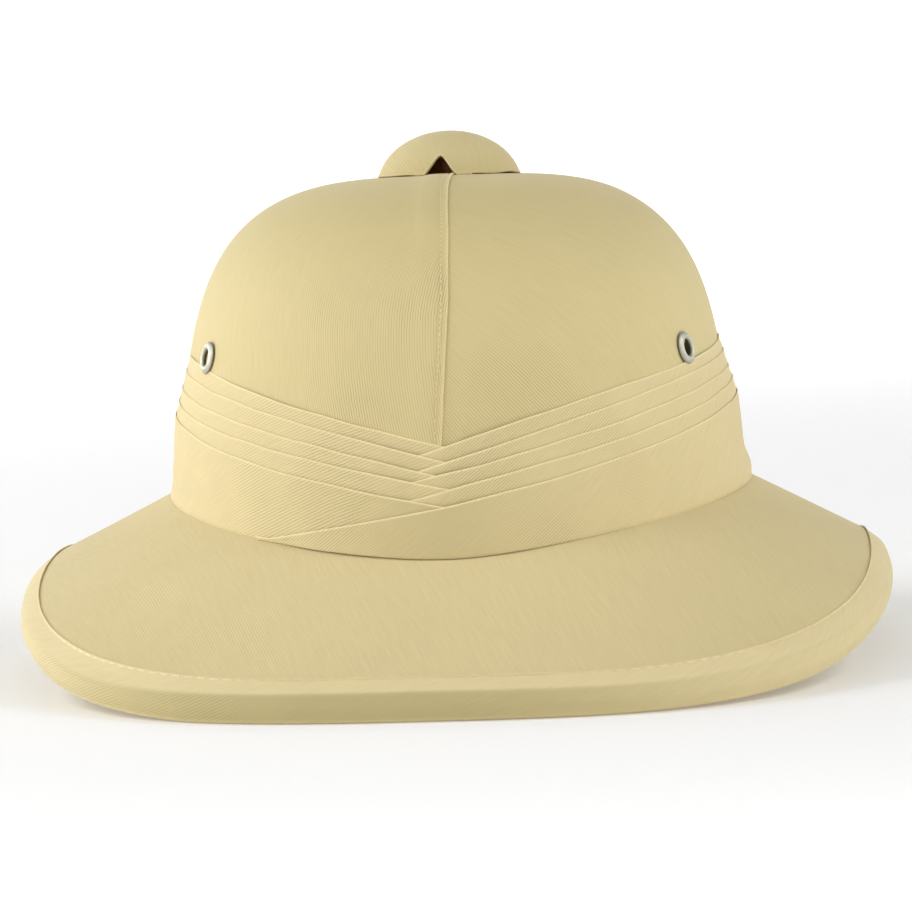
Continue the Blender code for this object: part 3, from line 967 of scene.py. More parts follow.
def pith_finish(name, tint):
    """Pressed pith: pale, dry and porous, with fibres that run round the wall."""
    material, value = new_material(name)
    place = object_place(value)
    x, y, z = (place.part(axis) for axis in "XYZ")
    fibres = value.vector(x * 260, y * 260, z * 1500).noise(1.0, 4, 0.6)
    pores = place.noise(900, 3, 0.7)
    blotch = place.noise(24, 4, 0.6)
    tone = (fibres * 0.5 + pores * 0.25 + blotch * 0.5 - 0.1).clamped()
    bumps = fibres * 0.6 + pores * 0.6 + blotch * 0.8
    return fed(
        material,
        Base_Color=tone.mixed(shaded(tint, 0.72), shaded(tint, 1.2)),
        Roughness=0.85 + (pores - 0.5) * 0.2,
        Normal=bumps.bump(0.35 * MM, 0.6),
    )


def paint_finish(name, tint):
    material, value = new_material(name)
    speckle = object_place(value).noise(1400, 3, 0.6)
    return fed(
        material,
        Base_Color=speckle.mixed(shaded(tint, 0.6), shaded(tint, 1.5)),
        Roughness=0.5 + speckle * 0.3,
        Normal=speckle.bump(0.05 * MM, 0.5),
    )


def metal_finish(name, tint):
    """Plated metal, satin, with fine scratches and a little dulling."""
    material, value = new_material(name)
    place = object_place(value)
    dull = place.noise(700, 4, 0.65)
    x, y, z = (place.part(axis) for axis in "XYZ")
    scratch = value.vector(x * 900, y * 900, z * 9000).noise(1.0, 3, 0.6)
    # Painted shade: where its mark says, the metal turns dark olive, less metallic and rougher.
    dark = mark(value, "rubbed")
    bright = dull.mixed(shaded(tint, 1.1), shaded(tint, 0.8))
    return fed(
        material,
        Base_Color=dark.mixed(bright, (0.11, 0.085, 0.03)),
        Metallic=0.85 - dark * 0.6,
        Roughness=0.34 + dull * 0.2 + scratch * 0.08 + dark * 0.2,
        Normal=scratch.bump(0.02 * MM, 0.35),
    )


# ---------------------------------------------------------------- stitches

def stitch_tree():
    """A Geometry Nodes tree that lays stitches along the edges of a mesh, flat on the way out."""
    name = "row of stitches"
    if name in bpy.data.node_groups:
        return bpy.data.node_groups[name]
    tree = bpy.data.node_groups.new(name, "GeometryNodeTree")
    interface = tree.interface
    interface.new_socket("Geometry", in_out="INPUT", socket_type="NodeSocketGeometry")
    for socket, default in (("Pitch", 3 * MM), ("Length", 2 * MM), ("Radius", 0.25 * MM), ("Slant", 0.05)):
        interface.new_socket(socket, in_out="INPUT", socket_type="NodeSocketFloat").default_value = default
    interface.new_socket("Seed", in_out="INPUT", socket_type="NodeSocketInt").default_value = 7
    interface.new_socket("Thread", in_out="INPUT", socket_type="NodeSocketMaterial")
    interface.new_socket("Geometry", in_out="OUTPUT", socket_type="NodeSocketGeometry")

    value = Value(tree, None)
    node = value.node
    given = {socket.name: Value(tree, socket) for socket in tree.nodes.new("NodeGroupInput").outputs}
    vectors = {"data_type": "FLOAT_VECTOR"}

    def between(low, high):
        return node("FunctionNodeRandomValue", vectors, {0: low, 1: high, "Seed": given["Seed"]})

    outwards = node("GeometryNodeInputNamedAttribute", vectors, {"Name": "outwards"}, "Attribute")
    curve = node("GeometryNodeMeshToCurve", None, {"Mesh": given["Geometry"]})
    spaced = node("GeometryNodeResampleCurve", {"mode": "LENGTH"}, {"Curve": curve, "Length": given["Pitch"]})
    ball = node("GeometryNodeMeshUVSphere", None, {"Segments": 8, "Rings": 6, "Radius": 0.5})
    width = given["Radius"] * 2.0
    size = value.vector(given["Length"], width, width)
    share = between((0.9, 0.85, 0.85), (1.08, 1.15, 1.15))
    scale = node("ShaderNodeVectorMath", {"operation": "MULTIPLY"}, {0: size, 1: share})
    tangent = node("GeometryNodeInputTangent")
    along = node("FunctionNodeAlignRotationToVector", {"axis": "X"}, {"Vector": tangent})
    axes = {"axis": "Z", "pivot_axis": "X"}
    flat = node("FunctionNodeAlignRotationToVector", axes, {"Rotation": along, "Vector": outwards})
    wander = between((-0.02, -0.02, -0.03), (0.02, 0.02, 0.03))
    lean = value.vector(0.0, 0.0, given["Slant"])
    turn = node("ShaderNodeVectorMath", {"operation": "ADD"}, {0: wander, 1: lean})
    euler = node("FunctionNodeEulerToRotation", None, {0: turn})
    space = {"rotation_space": "LOCAL"}
    turned = node("FunctionNodeRotateRotation", space, {"Rotation": flat, "Rotate By": euler})
    sockets = {"Points": spaced, "Instance": ball, "Rotation": turned, "Scale": scale}
    placed = node("GeometryNodeInstanceOnPoints", None, sockets)
    real = node("GeometryNodeRealizeInstances", None, {"Geometry": placed})
    smooth = node("GeometryNodeSetShadeSmooth", None, {"Geometry": real})
    painted = node("GeometryNodeSetMaterial", None, {"Geometry": smooth, "Material": given["Thread"]})
    tree.links.new(painted.socket, tree.nodes.new("NodeGroupOutput").inputs[0])
    return tree


def stitch_row(name, points, outwards, closed, inputs):
    """Stitches along a line of points, made by the tree and left as a plain mesh."""
    count = len(points)
    edges = [(index, index + 1) for index in range(count - 1)]
    if closed:
        edges.append((count - 1, 0))
    mesh = bpy.data.meshes.new(name)
    mesh.from_pydata(points.tolist(), edges, [])
    attribute = mesh.attributes.new("outwards", "FLOAT_VECTOR", "POINT")
    attribute.data.foreach_set("vector", outwards.astype(np.float32).ravel())
    row = add_object(name, mesh)
    modifier = row.modifiers.new("stitches", "NODES")
    modifier.node_group = stitch_tree()
    identifiers = {
        item.name: item.identifier
        for item in modifier.node_group.interface.items_tree
        if item.in_out == "INPUT"
    }
    for socket, value in inputs.items():
        modifier[identifiers[socket]] = value
    settle(row)
    if len(row.data.polygons) == 0:
        raise RuntimeError(name + " came out empty")
    return row


def make_seam_stitches(form, thread):
    """One row beside each seam of the crown, on the left panel."""
    u = form.crown_rows(240)
    z = form.crown_point(0.0, u)[..., 1]
    radius = form.crown_point(0.0, u)[..., 0]
    rows = []
    sides = (("front_seam_stitches", form.seam_angle(z), -1), ("back_seam_stitches", math.pi + 0 * u, 1))
    for name, seam, side in sides:
        phi = seam + side * SEAM_ASIDE / radius
        points = in_space(phi, form.crown_point(phi, u))
        beside = in_space(phi + 0.002, form.crown_point(phi + 0.002, u))
        outwards = unit(np.cross(beside - points, np.gradient(points, axis=0)))
        points = points + outwards * SEAM_LIFT
        inputs = {
            "Pitch": form.seam_pitch,
            "Length": form.seam_pitch * 0.72,
            "Radius": form.thread_radius * 0.85,
            "Thread": thread,
        }
        kept = (z > SEAM_FOOT) & (radius > form.cap_radius + SEAM_TO_CAP)
        rows.append(stitch_row(name, points[kept], outwards[kept], False, inputs))
    return rows


def make_binding_stitches(form, thread):
    """One row near each edge of the binding."""
    phi = np.linspace(-math.pi, math.pi, 720, endpoint=False)
    top_end, ridge, _, land, under_end = form.edge_corners(phi)[0]
    rows = []
    edges = (("top_binding_stitches", top_end, ridge, -1), ("under_binding_stitches", under_end, land, 1))
    for name, end, far, side in edges:
        inwards = unit(far - end)
        out = side * right_of(inwards)
        section = end + inwards * EDGE_ASIDE + out * EDGE_LIFT
        inputs = {
            "Pitch": form.binding_pitch,
            "Length": form.binding_pitch * 0.78,
            "Radius": form.thread_radius,
            "Slant": 0.02,
            "Thread": thread,
        }
        rows.append(stitch_row(name, in_space(phi, section), in_space(phi, out), True, inputs))
    return rows


# ---------------------------------------------------------------- pieces

def make_crown_covers(form, cloth):
    """Two panels, the left one lapped over the right one along a seam in front and one behind."""
    u = form.crown_rows(100)[:, None]
    across, rise = column_of(SEAM_PROFILE, "across") * MM, column_of(SEAM_PROFILE, "height") * MM
    # The seam's folded edge takes a painted highlight.
    painted_highlight = column_of(SEAM_PROFILE, "rubbed")
    radius = form.crown_point(0.0, u)[..., 0]
    front = form.seam_angle(form.crown_point(0.0, u)[..., 1])
    reach = -across[0] / radius
    material = twill_finish("crown_cloth", cloth.crown_colour, cloth, strength=1.35)

    back_lap, front_lap = -math.pi - across[::-1] / radius, front + across / radius
    phi = panel_columns(back_lap, reach - math.pi, front - reach, front_lap)
    shown = SEAM_LEAST + fade("seam_height", form.crown_point(0.0, u)[..., 1])
    flat = np.zeros(phi.shape[1] - 2 * len(across))
    lift = np.concatenate([rise[::-1], flat, rise]) * shown + 0 * phi
    rubbed = np.concatenate([painted_highlight[::-1], flat, painted_highlight])
    left = make_panel(PANELS[0], form, material, phi, u, lift, rubbed)

    under = np.array(LAP_COLUMNS) * MM
    front_lap, back_lap = front + under / radius, math.pi - under[::-1] / radius
    phi = panel_columns(front_lap, front + reach, math.pi - reach, back_lap)
    right = make_panel(PANELS[1], form, material, phi, u, 0 * phi)
    return left, right


def panel_columns(first, start, end, last):
    """Angles of a panel's columns: those of its two laps, and evenly spaced ones between them."""
    return np.concatenate([first, start + (end - start) * np.linspace(0, 1, 150)[None, 1:-1], last], axis=1)


def make_panel(panel, form, material, phi, u, lift, rubbed=0.0):
    """One panel of the crown's cover, whose top edge turns down into the vent hole."""
    section = form.crown_point(phi, u + 0 * phi)
    points = in_space(phi, section)
    outwards = unit(np.cross(np.gradient(points, axis=1), np.gradient(points, axis=0)))
    soft = lumps(points, "crown") * smoothstep(0.0, 0.1, 1 - u)
    points = points + outwards * (lift + soft)[..., None]
    lip = [pair(form.vent_radius + row["out"] * MM, form.crown_top - row["down"] * MM) for row in VENT_LIP]
    rim = [in_space(phi[-1], point + 0 * phi[-1][..., None])[None] for point in lip]
    points = np.concatenate([points, *rim])
    along = path_lengths(points, axis=1)
    middle = math.copysign(math.pi / 2, panel["eyelet"]["angle"])
    turns = np.concatenate([phi, np.repeat(phi[-1:], len(lip), axis=0)])
    side = np.array([np.interp(middle, turn, lengths) for turn, lengths in zip(turns, along)])
    up = path_lengths(points, axis=0)
    weave = turned_weave(along - side[:, None], up, panel["wale"]) * panel["fineness"]
    points, cell = open_round(points, form, panel["eyelet"])
    low, high = panel["up"]
    calm = np.maximum(
        0.9 * smoothstep(*panel["aside"], np.abs(from_front(turns))),
        panel["calm"] + panel["calmer"] * smoothstep(low * MM, high * MM, points[..., 2]),
    )
    # Painted shade, darker towards the top of the crown.
    soiled = fade("crown_soiled", points[..., 2])
    work = Sheetwork()
    work.grid(points, weave, rubbed=rubbed, calm=calm, soiled=soiled, without=[cell])
    cover = work.finish(panel["name"], material)
    thicken(cover, form.cloth * PANEL_CLOTH)
    return cover


def open_round(points, form, eyelet):
    """Pushes a panel's points away from an eyelet's axis, so that one cell opens into its hole."""
    seat, outwards = form.crown_seat(math.radians(eyelet["angle"]), eyelet["height"] * MM)
    beside = unit(np.cross((0, 0, 1), outwards))
    above = np.cross(outwards, beside)
    offset = points - seat
    flat = np.stack([offset @ beside, offset @ above], axis=-1)
    corners = [flat[:-1, :-1], flat[:-1, 1:], flat[1:, 1:], flat[1:, :-1]]
    turns = [
        (b[..., 0] - a[..., 0]) * -a[..., 1] + (b[..., 1] - a[..., 1]) * a[..., 0]
        for a, b in zip(corners, corners[1:] + corners[:1])
    ]
    near = np.linalg.norm(offset, axis=-1) < NEAR_EYELET
    around = (np.all(np.array(turns) > 0, axis=0) | np.all(np.array(turns) < 0, axis=0)) & near[:-1, :-1]
    cell = tuple(int(index) for index in np.argwhere(around)[0])
    distance = np.linalg.norm(flat, axis=-1)
    pushed = OPENING + distance * (OPENING_REACH - OPENING) / OPENING_REACH
    growth = np.where((distance < OPENING_REACH) & near, pushed / distance - 1, 0)
    moved = flat * growth[..., None]
    return points + moved[..., :1] * beside + moved[..., 1:] * above, cell


def make_crown_pith(form, cloth):
    """The bare pith wall under the cover, seen from inside."""
    phi = np.linspace(-math.pi, math.pi, 240, endpoint=False)
    inset = PITH_INSET
    rows_out = form.crown_rows(36, inset)
    rows_in = form.crown_rows(64, form.wall)
    _, _, hollow = form.edge_corners(phi)
    section = [pair(form.crown_oval(phi) - inset, hollow[..., 1] + inset)]
    section += [form.crown_point(phi, u, inset) for u in rows_out]
    section += [
        pair(form.vent_radius + inset, form.crown_top - inset + 0 * phi),
        pair(form.vent_radius + inset, form.crown_top - form.wall + 0 * phi),
    ]
    section += [form.crown_point(phi, u, form.wall) for u in rows_in[::-1]]
    section += [hollow + pair(-form.inner_round, form.inner_round) * share for share in (1, 0.3)]
    points = in_space(phi, np.stack(section))
    inner = np.zeros(len(points))
    inner[len(rows_out) + 4:-2] = 1
    radial = unit(points * np.array([1, 1, 0]))
    points -= radial * (lumps(points, "pith") * inner[:, None])[..., None]
    work = Sheetwork()
    work.grid(points, points[..., :2], around=True, closed=True)
    pith = work.finish("crown_pith", pith_finish("bare_pith", cloth.pith_colour))
    drill(pith, form)
    return pith


def make_brim_covers(form, cloth):
    """The cloth on the brim's upper side, and the one below that turns up into the head opening."""
    phi = np.linspace(-math.pi, math.pi, 400, endpoint=False)
    edge = form.cover_edge(phi)
    _, _, hollow = form.edge_corners(phi)
    inner = form.crown_oval(phi) + 1 * MM
    root = pair(inner, form.brim_surface(phi, inner))
    material = twill_finish("brim_cloth", cloth.brim_colour, cloth, fineness=1.14, strength=0.75)
    top = np.stack(filled([edge[0] + (edge[1] - edge[0]) * 0.3, edge[0], root], COVER_SPACING))
    points = in_space(phi, top)
    inwards = np.linspace(0, 1, len(top))[:, None]
    points[..., 2] += lumps(points, "brim") * smoothstep(0, 0.3, inwards)
    work = Sheetwork()
    x = points[..., 0]
    calm = np.maximum(fade("brim_calm", x), fade("brim_calm_far_left", x))
    calm = np.maximum(calm, fade("brim_calm_inwards", inwards))
    # Painted shade on the brim's cover towards both sides.
    soiled = fade("brim_soiled", np.abs(x))
    weave = turned_weave(points[..., 0], points[..., 1], BRIM_WALE)
    work.grid(points, weave, around=True, calm=calm, soiled=soiled)
    cover = work.finish("brim_cover", material)
    thicken(cover, form.cloth)

    inner_wall = hollow - pair(form.inner_round, -form.inner_round)
    up = pair(hollow[..., 0] - form.inner_round + 0.2 * MM, hollow[..., 1] + 9 * MM)
    proud = pair(form.cloth, 0)
    corners = [up - proud, inner_wall - proud, hollow - pair(0, form.cloth), edge[4], edge[3]]
    reaches = [(reach * MM, reach * MM) for reach in UNDER_ROUNDS]
    under = np.stack(filled(rounded(corners, reaches), COVER_SPACING))
    points = in_space(phi, under)
    work = Sheetwork()
    weave = turned_weave(points[..., 0], points[..., 1] + points[..., 2], 180 - BRIM_WALE)
    work.grid(points, weave, around=True)
    lower = work.finish("brim_under_cover", material)
    thicken(lower, form.cloth)
    return cover, lower


def binding_outline(form, phi):
    """The binding's outer side, from the end below to the end on top."""
    top_end, ridge, foot, land, under_end = form.edge_corners(phi)[0]
    corners = [under_end, land, foot, form.edge_belly(phi), ridge, top_end]
    reaches = [(row["before"] * MM, row["after"] * MM) for row in BINDING_ROUNDS]
    return filled(rounded(corners, reaches, steps=6), BINDING_SPACING)


def make_binding(form, cloth):
    """A bias strip folded over the brim's edge, with its upper edge turned in."""
    phi = np.linspace(-math.pi, math.pi, 460, endpoint=False)
    outer = np.stack(binding_outline(form, phi))
    thick = form.cloth
    inner = np.stack(offset_path(list(outer), -thick))
    # The upper edge is rolled: the outline turns in round a half circle.
    along = unit(outer[-1] - outer[-2])
    out = -right_of(along)
    centre = outer[-1] - out * thick / 2 - along * thick / 2
    section = list(outer[:-1])
    for turn in np.radians(np.arange(90, -91, -30)):
        section.append(centre + out * (math.sin(turn) * thick / 2) + along * (math.cos(turn) * thick / 2))
    section += list(inner[1:-1][::-1])
    section = np.stack(section)
    points = in_space(phi, section)
    lengths = path_lengths(section, axis=0)
    around = path_lengths(points, axis=1).mean(axis=0)
    closing = np.linalg.norm(points[:, 0] - points[:, -1], axis=-1).mean()
    around = np.append(around, around[-1] + closing) + np.zeros((len(points), 1))
    lengths = np.concatenate([lengths, lengths[:, :1]], axis=1)
    pucker = lumps(points * np.array([1, 1, 0.3]), "binding")
    near_top = np.exp(-((np.arange(len(points)) - len(outer)) / 5.0) ** 2)[:, None]
    points = points + in_space(phi, pair(0 * phi, 1 + 0 * phi)) * (pucker * near_top)[..., None]
    work = Sheetwork()
    face = fade("binding_face", np.abs(unit(np.gradient(section, axis=0))[..., 1]))
    # The rolled end stands upright too, but it takes no painted shade.
    face[len(outer) - 3:] = 0
    calm = np.maximum(0.97 * (1 - face), fade("binding_calm", from_front(phi)))
    calm = np.maximum(calm, fade("binding_calm_aside", np.abs(np.sin(phi))))
    # Painted shade on the edge's upright face, most at the front.
    soiled = face * (0.3 + 0.7 * around_angle(phi, *PAINTED_SHADE_EDGE))
    weave = turned_weave(around, lengths, BINDING_WALE)
    work.grid(points, weave, around=True, closed=True, calm=calm, soiled=soiled)
    finish = twill_finish("binding_cloth", cloth.binding_colour, cloth, fineness=1.06, strength=0.85)
    return work.finish("edge_binding", finish)


def fold_height(fold, turn):
    """Height of a fold's edge. The turn runs from the left front round the back to the right front."""
    sine = np.sin(turn)
    behind = (turn > math.pi / 2) & (turn < 1.5 * math.pi)
    left, right, side = fold["left"] * MM, fold["right"] * MM, fold["side"] * MM
    middle = (left + right) / 2
    at_left = left + (side - left) * sine + bowed(fold, 0, turn)
    at_right = right + (side - right) * -sine + bowed(fold, 1, -turn)
    at_back = middle + (side - middle) * np.abs(sine) ** 1.6
    return np.where(behind, at_back, np.where(turn < math.pi, at_left, at_right))


def bowed(fold, part, turn):
    """How far a fold's edge bows up on the left (part 0) or the right (part 1), at a turn from the front."""
    return (fold["bow"][part] * np.sin(2 * turn) + fold["wave"][part] * np.sin(4 * turn)) * MM


def make_puggaree(form, cloth):
    """Five ribbons that each run from the left front round the back to the right front, in layers."""
    work = Sheetwork()
    for place, fold in enumerate(FOLDS):
        last = place == len(FOLDS) - 1
        turn = np.radians(np.linspace(RIBBON_START, *((TAIL_END, 420) if last else (RIBBON_END, 400))))
        phi = -turn
        wander = unevenness(np.stack([0.1 * turn, 0 * turn, 0 * turn], axis=-1), 9 * MM, seed=40 + place)
        edge = fold_height(fold, turn) + 0.12 * MM * wander
        if last:
            tail = fold["right"] * MM - TAIL_FALL * np.sin(np.clip(turn - TURN, 0, None))
            edge = np.where(turn > TURN, tail, edge)
        layers = 2 * place + 1 - fade("band_flatter", turn) + fade("band_crossing", turn)
        depth = form.fold_layer * layers * squeezed(form, phi)
        flare = face_bulge(phi, 1.0) if last else 0.0
        if last:
            depth = depth + fade("tail_rise", turn)
        gap = BRIM_GAP + ribbon_gap(turn)
        floor = form.brim_surface(phi, form.crown_oval(phi) + depth + flare) + gap
        edge = np.maximum(edge, floor + 0.9 * MM)
        tall = edge - floor if last else np.full_like(edge, RIBBON_DEPTH)
        section = fold_section(form, phi, turn, place, edge, tall, depth)
        points = in_space(phi[::-1], section[:, ::-1])
        radial = unit(points * np.array([1, 1, 0]))
        points = points + radial * lumps(points, "band")[..., None]
        # The section runs from the top down, so it is turned over to face outwards.
        across = path_lengths(points, axis=1).mean(axis=0)[None] + 0 * points[..., 0]
        up = -path_lengths(points, axis=0)[::-1]
        up = np.concatenate([up, up[:1]])
        across = np.concatenate([across, across[:1]])
        # Painted highlight along each fold's rolled edge, stronger towards the front.
        painted_highlight = np.zeros(len(points))
        painted_highlight[:len(FOLD_PROFILE)] = column_of(FOLD_PROFILE, "rubbed")
        front = PAINTED_HIGHLIGHT_LEAST + fade("band_rubbed", np.cos(phi[::-1]))
        rubbed = (painted_highlight[:, None] * front)[::-1]
        calm = fade("band_calm", np.abs(np.sin(phi[::-1])))
        soiled = 0.0
        if last:
            calm = np.maximum(calm, 0.95 * around_angle(phi[::-1], *SMOOTH_BAND))
            # Painted shade on the middle of the lowest fold in front.
            soiled = 0.32 * around_angle(phi[::-1], *PAINTED_SHADE_BAND)
        weave = turned_weave(across, up, BAND_WALE)
        work.grid(points[::-1], weave, closed=True, capped=True, rubbed=rubbed, calm=calm, soiled=soiled)
    finish = twill_finish("band_cloth", cloth.band_colour, cloth, fineness=1.06, strength=1.2)
    return work.finish("puggaree_folds", finish, sharp_degrees=60)


def squeezed(form, phi):
    """How deep the band's layers lie at an angle, as a share of their depth in front."""
    return 1 - form.band_squeeze * np.abs(np.sin(phi)) ** 3 * (0.7 - 0.3 * np.sin(phi))


def ribbon_gap(turn):
    """How much further the ribbons stand off the brim at a turn than elsewhere."""
    middle, reach, crease = TAIL_CREASE
    return fade("tail_gap", turn) + crease * np.exp(-(((turn - middle) / reach) ** 2))


def face_bulge(phi, share):
    """How far out the lowest fold's face stands at the sides, by the share of the way down."""
    left = eased(share, FACE_PROFILE, "share", "left")
    right = eased(share, FACE_PROFILE, "share", "right")
    return np.abs(np.sin(phi)) ** 3 * np.where(np.sin(phi) < 0, left, right) * MM


def fold_section(form, phi, turn, place, edge, tall, depth):
    """Section of one ribbon, from its top edge down its face, and up again behind it."""
    from_end = np.minimum(turn, TURN - turn)
    inside = smoothstep(math.radians(-4), math.radians(1), from_end)
    pressed = smoothstep(math.radians(7), math.radians(20), from_end)
    side = np.abs(np.sin(turn)) ** 3
    roll = (0.4 + 0.45 * inside) * (1 - 0.7 * side)
    last = place == len(FOLDS) - 1
    if last:
        roll = np.maximum(roll, 0.8)
        step = tall
        swell = face_bulge(phi, 1.0)
    else:
        step = edge - fold_height(FOLDS[place + 1], turn)
        layers = 2 * form.fold_layer * squeezed(form, phi)
        middle = np.exp(-((from_end / math.radians(13)) ** 2))
        swell = pressed * side * (layers - 0.28 * MM) + (1 - side) * (0.3 - 0.66 * middle) * MM
    most = tall * 0.45
    section = []
    for row in FOLD_PROFILE:
        below = np.minimum(row["below"] * MM, most)
        section.append(standing(form, phi, edge - below, depth + row["out"] * MM * roll))
    rest = FOLD_PROFILE[-1]["out"] * MM * roll
    start = np.minimum(FOLD_PROFILE[-1]["below"] * MM, most)
    shares = np.linspace(0, 1, 17)[1:] if last else (0.18, 0.36, 0.54, 0.72, 0.9, 1.08)
    for share in shares:
        below = start + (step - start) * share
        fullness = np.where(swell > 0, swell * smoothstep(0.0, 0.95, share), swell * min(share, 1) ** 1.2)
        if last:
            fullness = face_bulge(phi, below / tall)
        section.append(standing(form, phi, edge - below, depth + rest + fullness))
    if not last:
        section.append(standing(form, phi, edge - tall, depth + rest + swell))
    bottom = edge - tall
    section.append(standing(form, phi, bottom - 0.1 * MM, depth + rest + swell - 0.12 * MM))
    for share in (0.0, 0.5, 0.9):
        level = np.minimum(bottom + (edge - 0.6 * MM - bottom) * share, edge - 0.3 * MM)
        section.append(standing(form, phi, level, depth - 0.04 * MM + np.minimum(swell, 0) * (1 - share)))
    return np.stack(section)


def standing(form, phi, height, depth):
    """A point of the band's section: its height, and how far it stands out of the crown there."""
    return pair(form.crown_radius(phi, height) + depth, height)


def make_cap(form, cloth):
    """The domed cap: outside, rolled hem and dark inside, with a pointed notch in front and behind."""
    half = form.notch_width / 2
    near = np.arcsin(np.array(NOTCH_SPOTS) * half / form.cap_radius)
    near = np.concatenate([-near[::-1][:-1], near])
    rest = np.linspace(near[-1], math.pi - near[-1], 52)[1:-1]
    turn = np.concatenate([near, rest, near + math.pi, rest + math.pi])
    x = np.abs(np.sin(turn)) * form.cap_radius / half
    notch = np.interp(x, column_of(NOTCH_OUTLINE, "across"), column_of(NOTCH_OUTLINE, "height"))
    bottom = notch * form.notch_height
    phi = turn + form.notch_angle
    ring = in_space(phi, pair(form.cap_radius, 0 * phi))
    uneven = lumps(ring, "cap") * (x > 1.3)
    uneven = uneven + eased(from_front(phi), HEM_GAPS, "angle", "gap") * MM * (x > 1.02)
    base = form.crown_top - CAP_SINK
    depth = form.cap_centre_depth
    tall = form.cap_height + depth
    wide = form.cap_radius / math.sqrt(1 - (depth / tall) ** CAP_FULLNESS)

    def row(up, share, inset, out=0.0):
        """One ring: a distance up from the edge, then a share of the way to the pole."""
        low = np.clip((bottom + uneven + depth + up) / tall, 0, 1) ** (CAP_FULLNESS / 2)
        lean = np.arcsin(low) + (math.pi / 2 - np.arcsin(low)) * share
        high = np.sin(lean) ** (2 / CAP_FULLNESS) * (tall - inset)
        return pair((wide - inset) * np.cos(lean) + out * np.cos(lean), base - depth + high)

    inner = [row(0.3 * MM, share, CAP_SHEET) for share in np.linspace(1, 0, 20)[1:]]
    outer = [row(part["up"] * MM, 0.0, 0.0, part["out"] * MM) for part in HEM_PROFILE]
    outer += [row(HEM_PROFILE[-1]["up"] * MM, share, 0.0) for share in np.linspace(0, 1, 28)[1:-1]]
    section = np.stack(inner + outer)
    # Painted highlight along the hem, stronger beside the notches.
    painted_highlight = np.zeros((len(section), len(turn)))
    painted_highlight[len(inner):len(inner) + len(HEM_PROFILE)] = column_of(HEM_PROFILE, "rubbed")[:, None]
    painted_highlight *= 0.25 + 0.5 * (x < 1.2)
    points = in_space(phi, section)
    from_pole = path_lengths(section[::-1], axis=0)[::-1]
    weave = turned_weave(from_pole * np.sin(phi), -from_pole * np.cos(phi), CAP_WALE)
    count = len(turn)
    work = Sheetwork()
    calm = fade("cap_calm", points[..., 0])
    first = work.grid(points, weave, around=True, rubbed=painted_highlight, calm=calm)
    inside_faces = (len(inner) - 1) * count
    pole = (0, 0, base + form.cap_height)
    work.fan(first + (len(section) - 1) * count, count, pole, weave[-1], np.zeros(2))
    pole = (0, 0, base + form.cap_height - CAP_SHEET)
    work.fan(first, count, pole, weave[0], np.zeros(2), inwards=True)
    cap = work.finish("vent_cap_cover", twill_finish("cap_cloth", cloth.cap_colour, cloth, strength=1.1))
    cap.data.materials.append(paint_finish("cap_inside", cloth.dark_colour))
    index = np.zeros(len(cap.data.polygons), dtype=np.int32)
    index[:inside_faces] = 1
    index[-count:] = 1
    cap.data.polygons.foreach_set("material_index", index)
    return cap


def make_eyelet(form, place, material):
    """A rolled flange on the cover, a barrel through the wall and a washer on the inside."""
    starts = {"hole": form.eyelet_hole, "rim": form.eyelet_radius}
    radius = np.array([starts[row["from"]] + row["out"] * MM for row in EYELET_PROFILE])[:, None]
    height = (column_of(EYELET_PROFILE, "up") * MM - form.wall * column_of(EYELET_PROFILE, "inside"))[:, None]
    # Painted shade in the hole and on the outer wall of the rim.
    dark = column_of(EYELET_PROFILE, "dark")[:, None]
    seat, outwards = form.crown_seat(math.radians(place["angle"]), place["height"] * MM)
    turn = np.linspace(0, TURN, 72, endpoint=False)
    local = np.stack(np.broadcast_arrays(radius * np.cos(turn), radius * np.sin(turn), height), axis=-1)
    rotation = np.array(Vector(outwards).to_track_quat("Z", "Y").to_matrix())
    points = local[::-1] @ rotation.T + seat
    work = Sheetwork()
    work.grid(points, points[..., :2], around=True, closed=True, rubbed=dark[::-1])
    return work.finish(place["name"], material)


# ---------------------------------------------------------------- operators

class HelmetOperator(bpy.types.Operator):
    """What the helmet's operators share: they change the scene and can be undone."""

    bl_options = {"REGISTER", "UNDO"}


class MakeCrown(HelmetOperator):
    """Build the crown: its cloth cover in two lapped panels and the pith wall under it"""

    bl_idname = "helmet.crown"
    bl_label = "Crown"

    def execute(self, context):
        form, cloth = helmet_form(), context.scene.helmet_cloth
        left, right = make_crown_covers(form, cloth)
        dress(left, "crown_cloth", "crown_shell")
        dress(right, "crown_cloth", "crown_shell")
        dress(make_crown_pith(form, cloth), "crown_cloth", "crown_shell")
        return {"FINISHED"}


class MakeBrim(HelmetOperator):
    """Build the brim's two cover cloths"""

    bl_idname = "helmet.brim"
    bl_label = "Brim"

    def execute(self, context):
        for cover in make_brim_covers(helmet_form(), context.scene.helmet_cloth):
            dress(cover, "brim_cloth", "brim_shell")
        return {"FINISHED"}


class MakeBinding(HelmetOperator):
    """Build the strip that wraps the brim's edge"""

    bl_idname = "helmet.binding"
    bl_label = "Binding"

    def execute(self, context):
        strip = make_binding(helmet_form(), context.scene.helmet_cloth)
        dress(strip, "binding_cloth", "brim_binding")
        return {"FINISHED"}


class MakeStitches(HelmetOperator):
    """Sew the crown's seams and both edges of the binding"""

    bl_idname = "helmet.stitches"
    bl_label = "Stitches"

    def execute(self, context):
        form, cloth = helmet_form(), context.scene.helmet_cloth
        seam = thread_finish("seam_thread", cloth.seam_thread_colour, cloth.seam_thread_colour)
        edge = thread_finish("binding_thread", cloth.thread_colour, cloth.faded_thread_colour)
        seams, edges = make_seam_stitches(form, seam), make_binding_stitches(form, edge)
        for row in seams:
            dress(row, "crown_cloth")
        for row in edges:
            dress(row, "binding_cloth")
        return {"FINISHED"}


class MakePuggaree(HelmetOperator):
    """Wrap the pleated band round the crown"""

    bl_idname = "helmet.puggaree"
    bl_label = "Puggaree"

    def execute(self, context):
        band = make_puggaree(helmet_form(), context.scene.helmet_cloth)
        dress(band, "band_cloth", "puggaree")
        return {"FINISHED"}


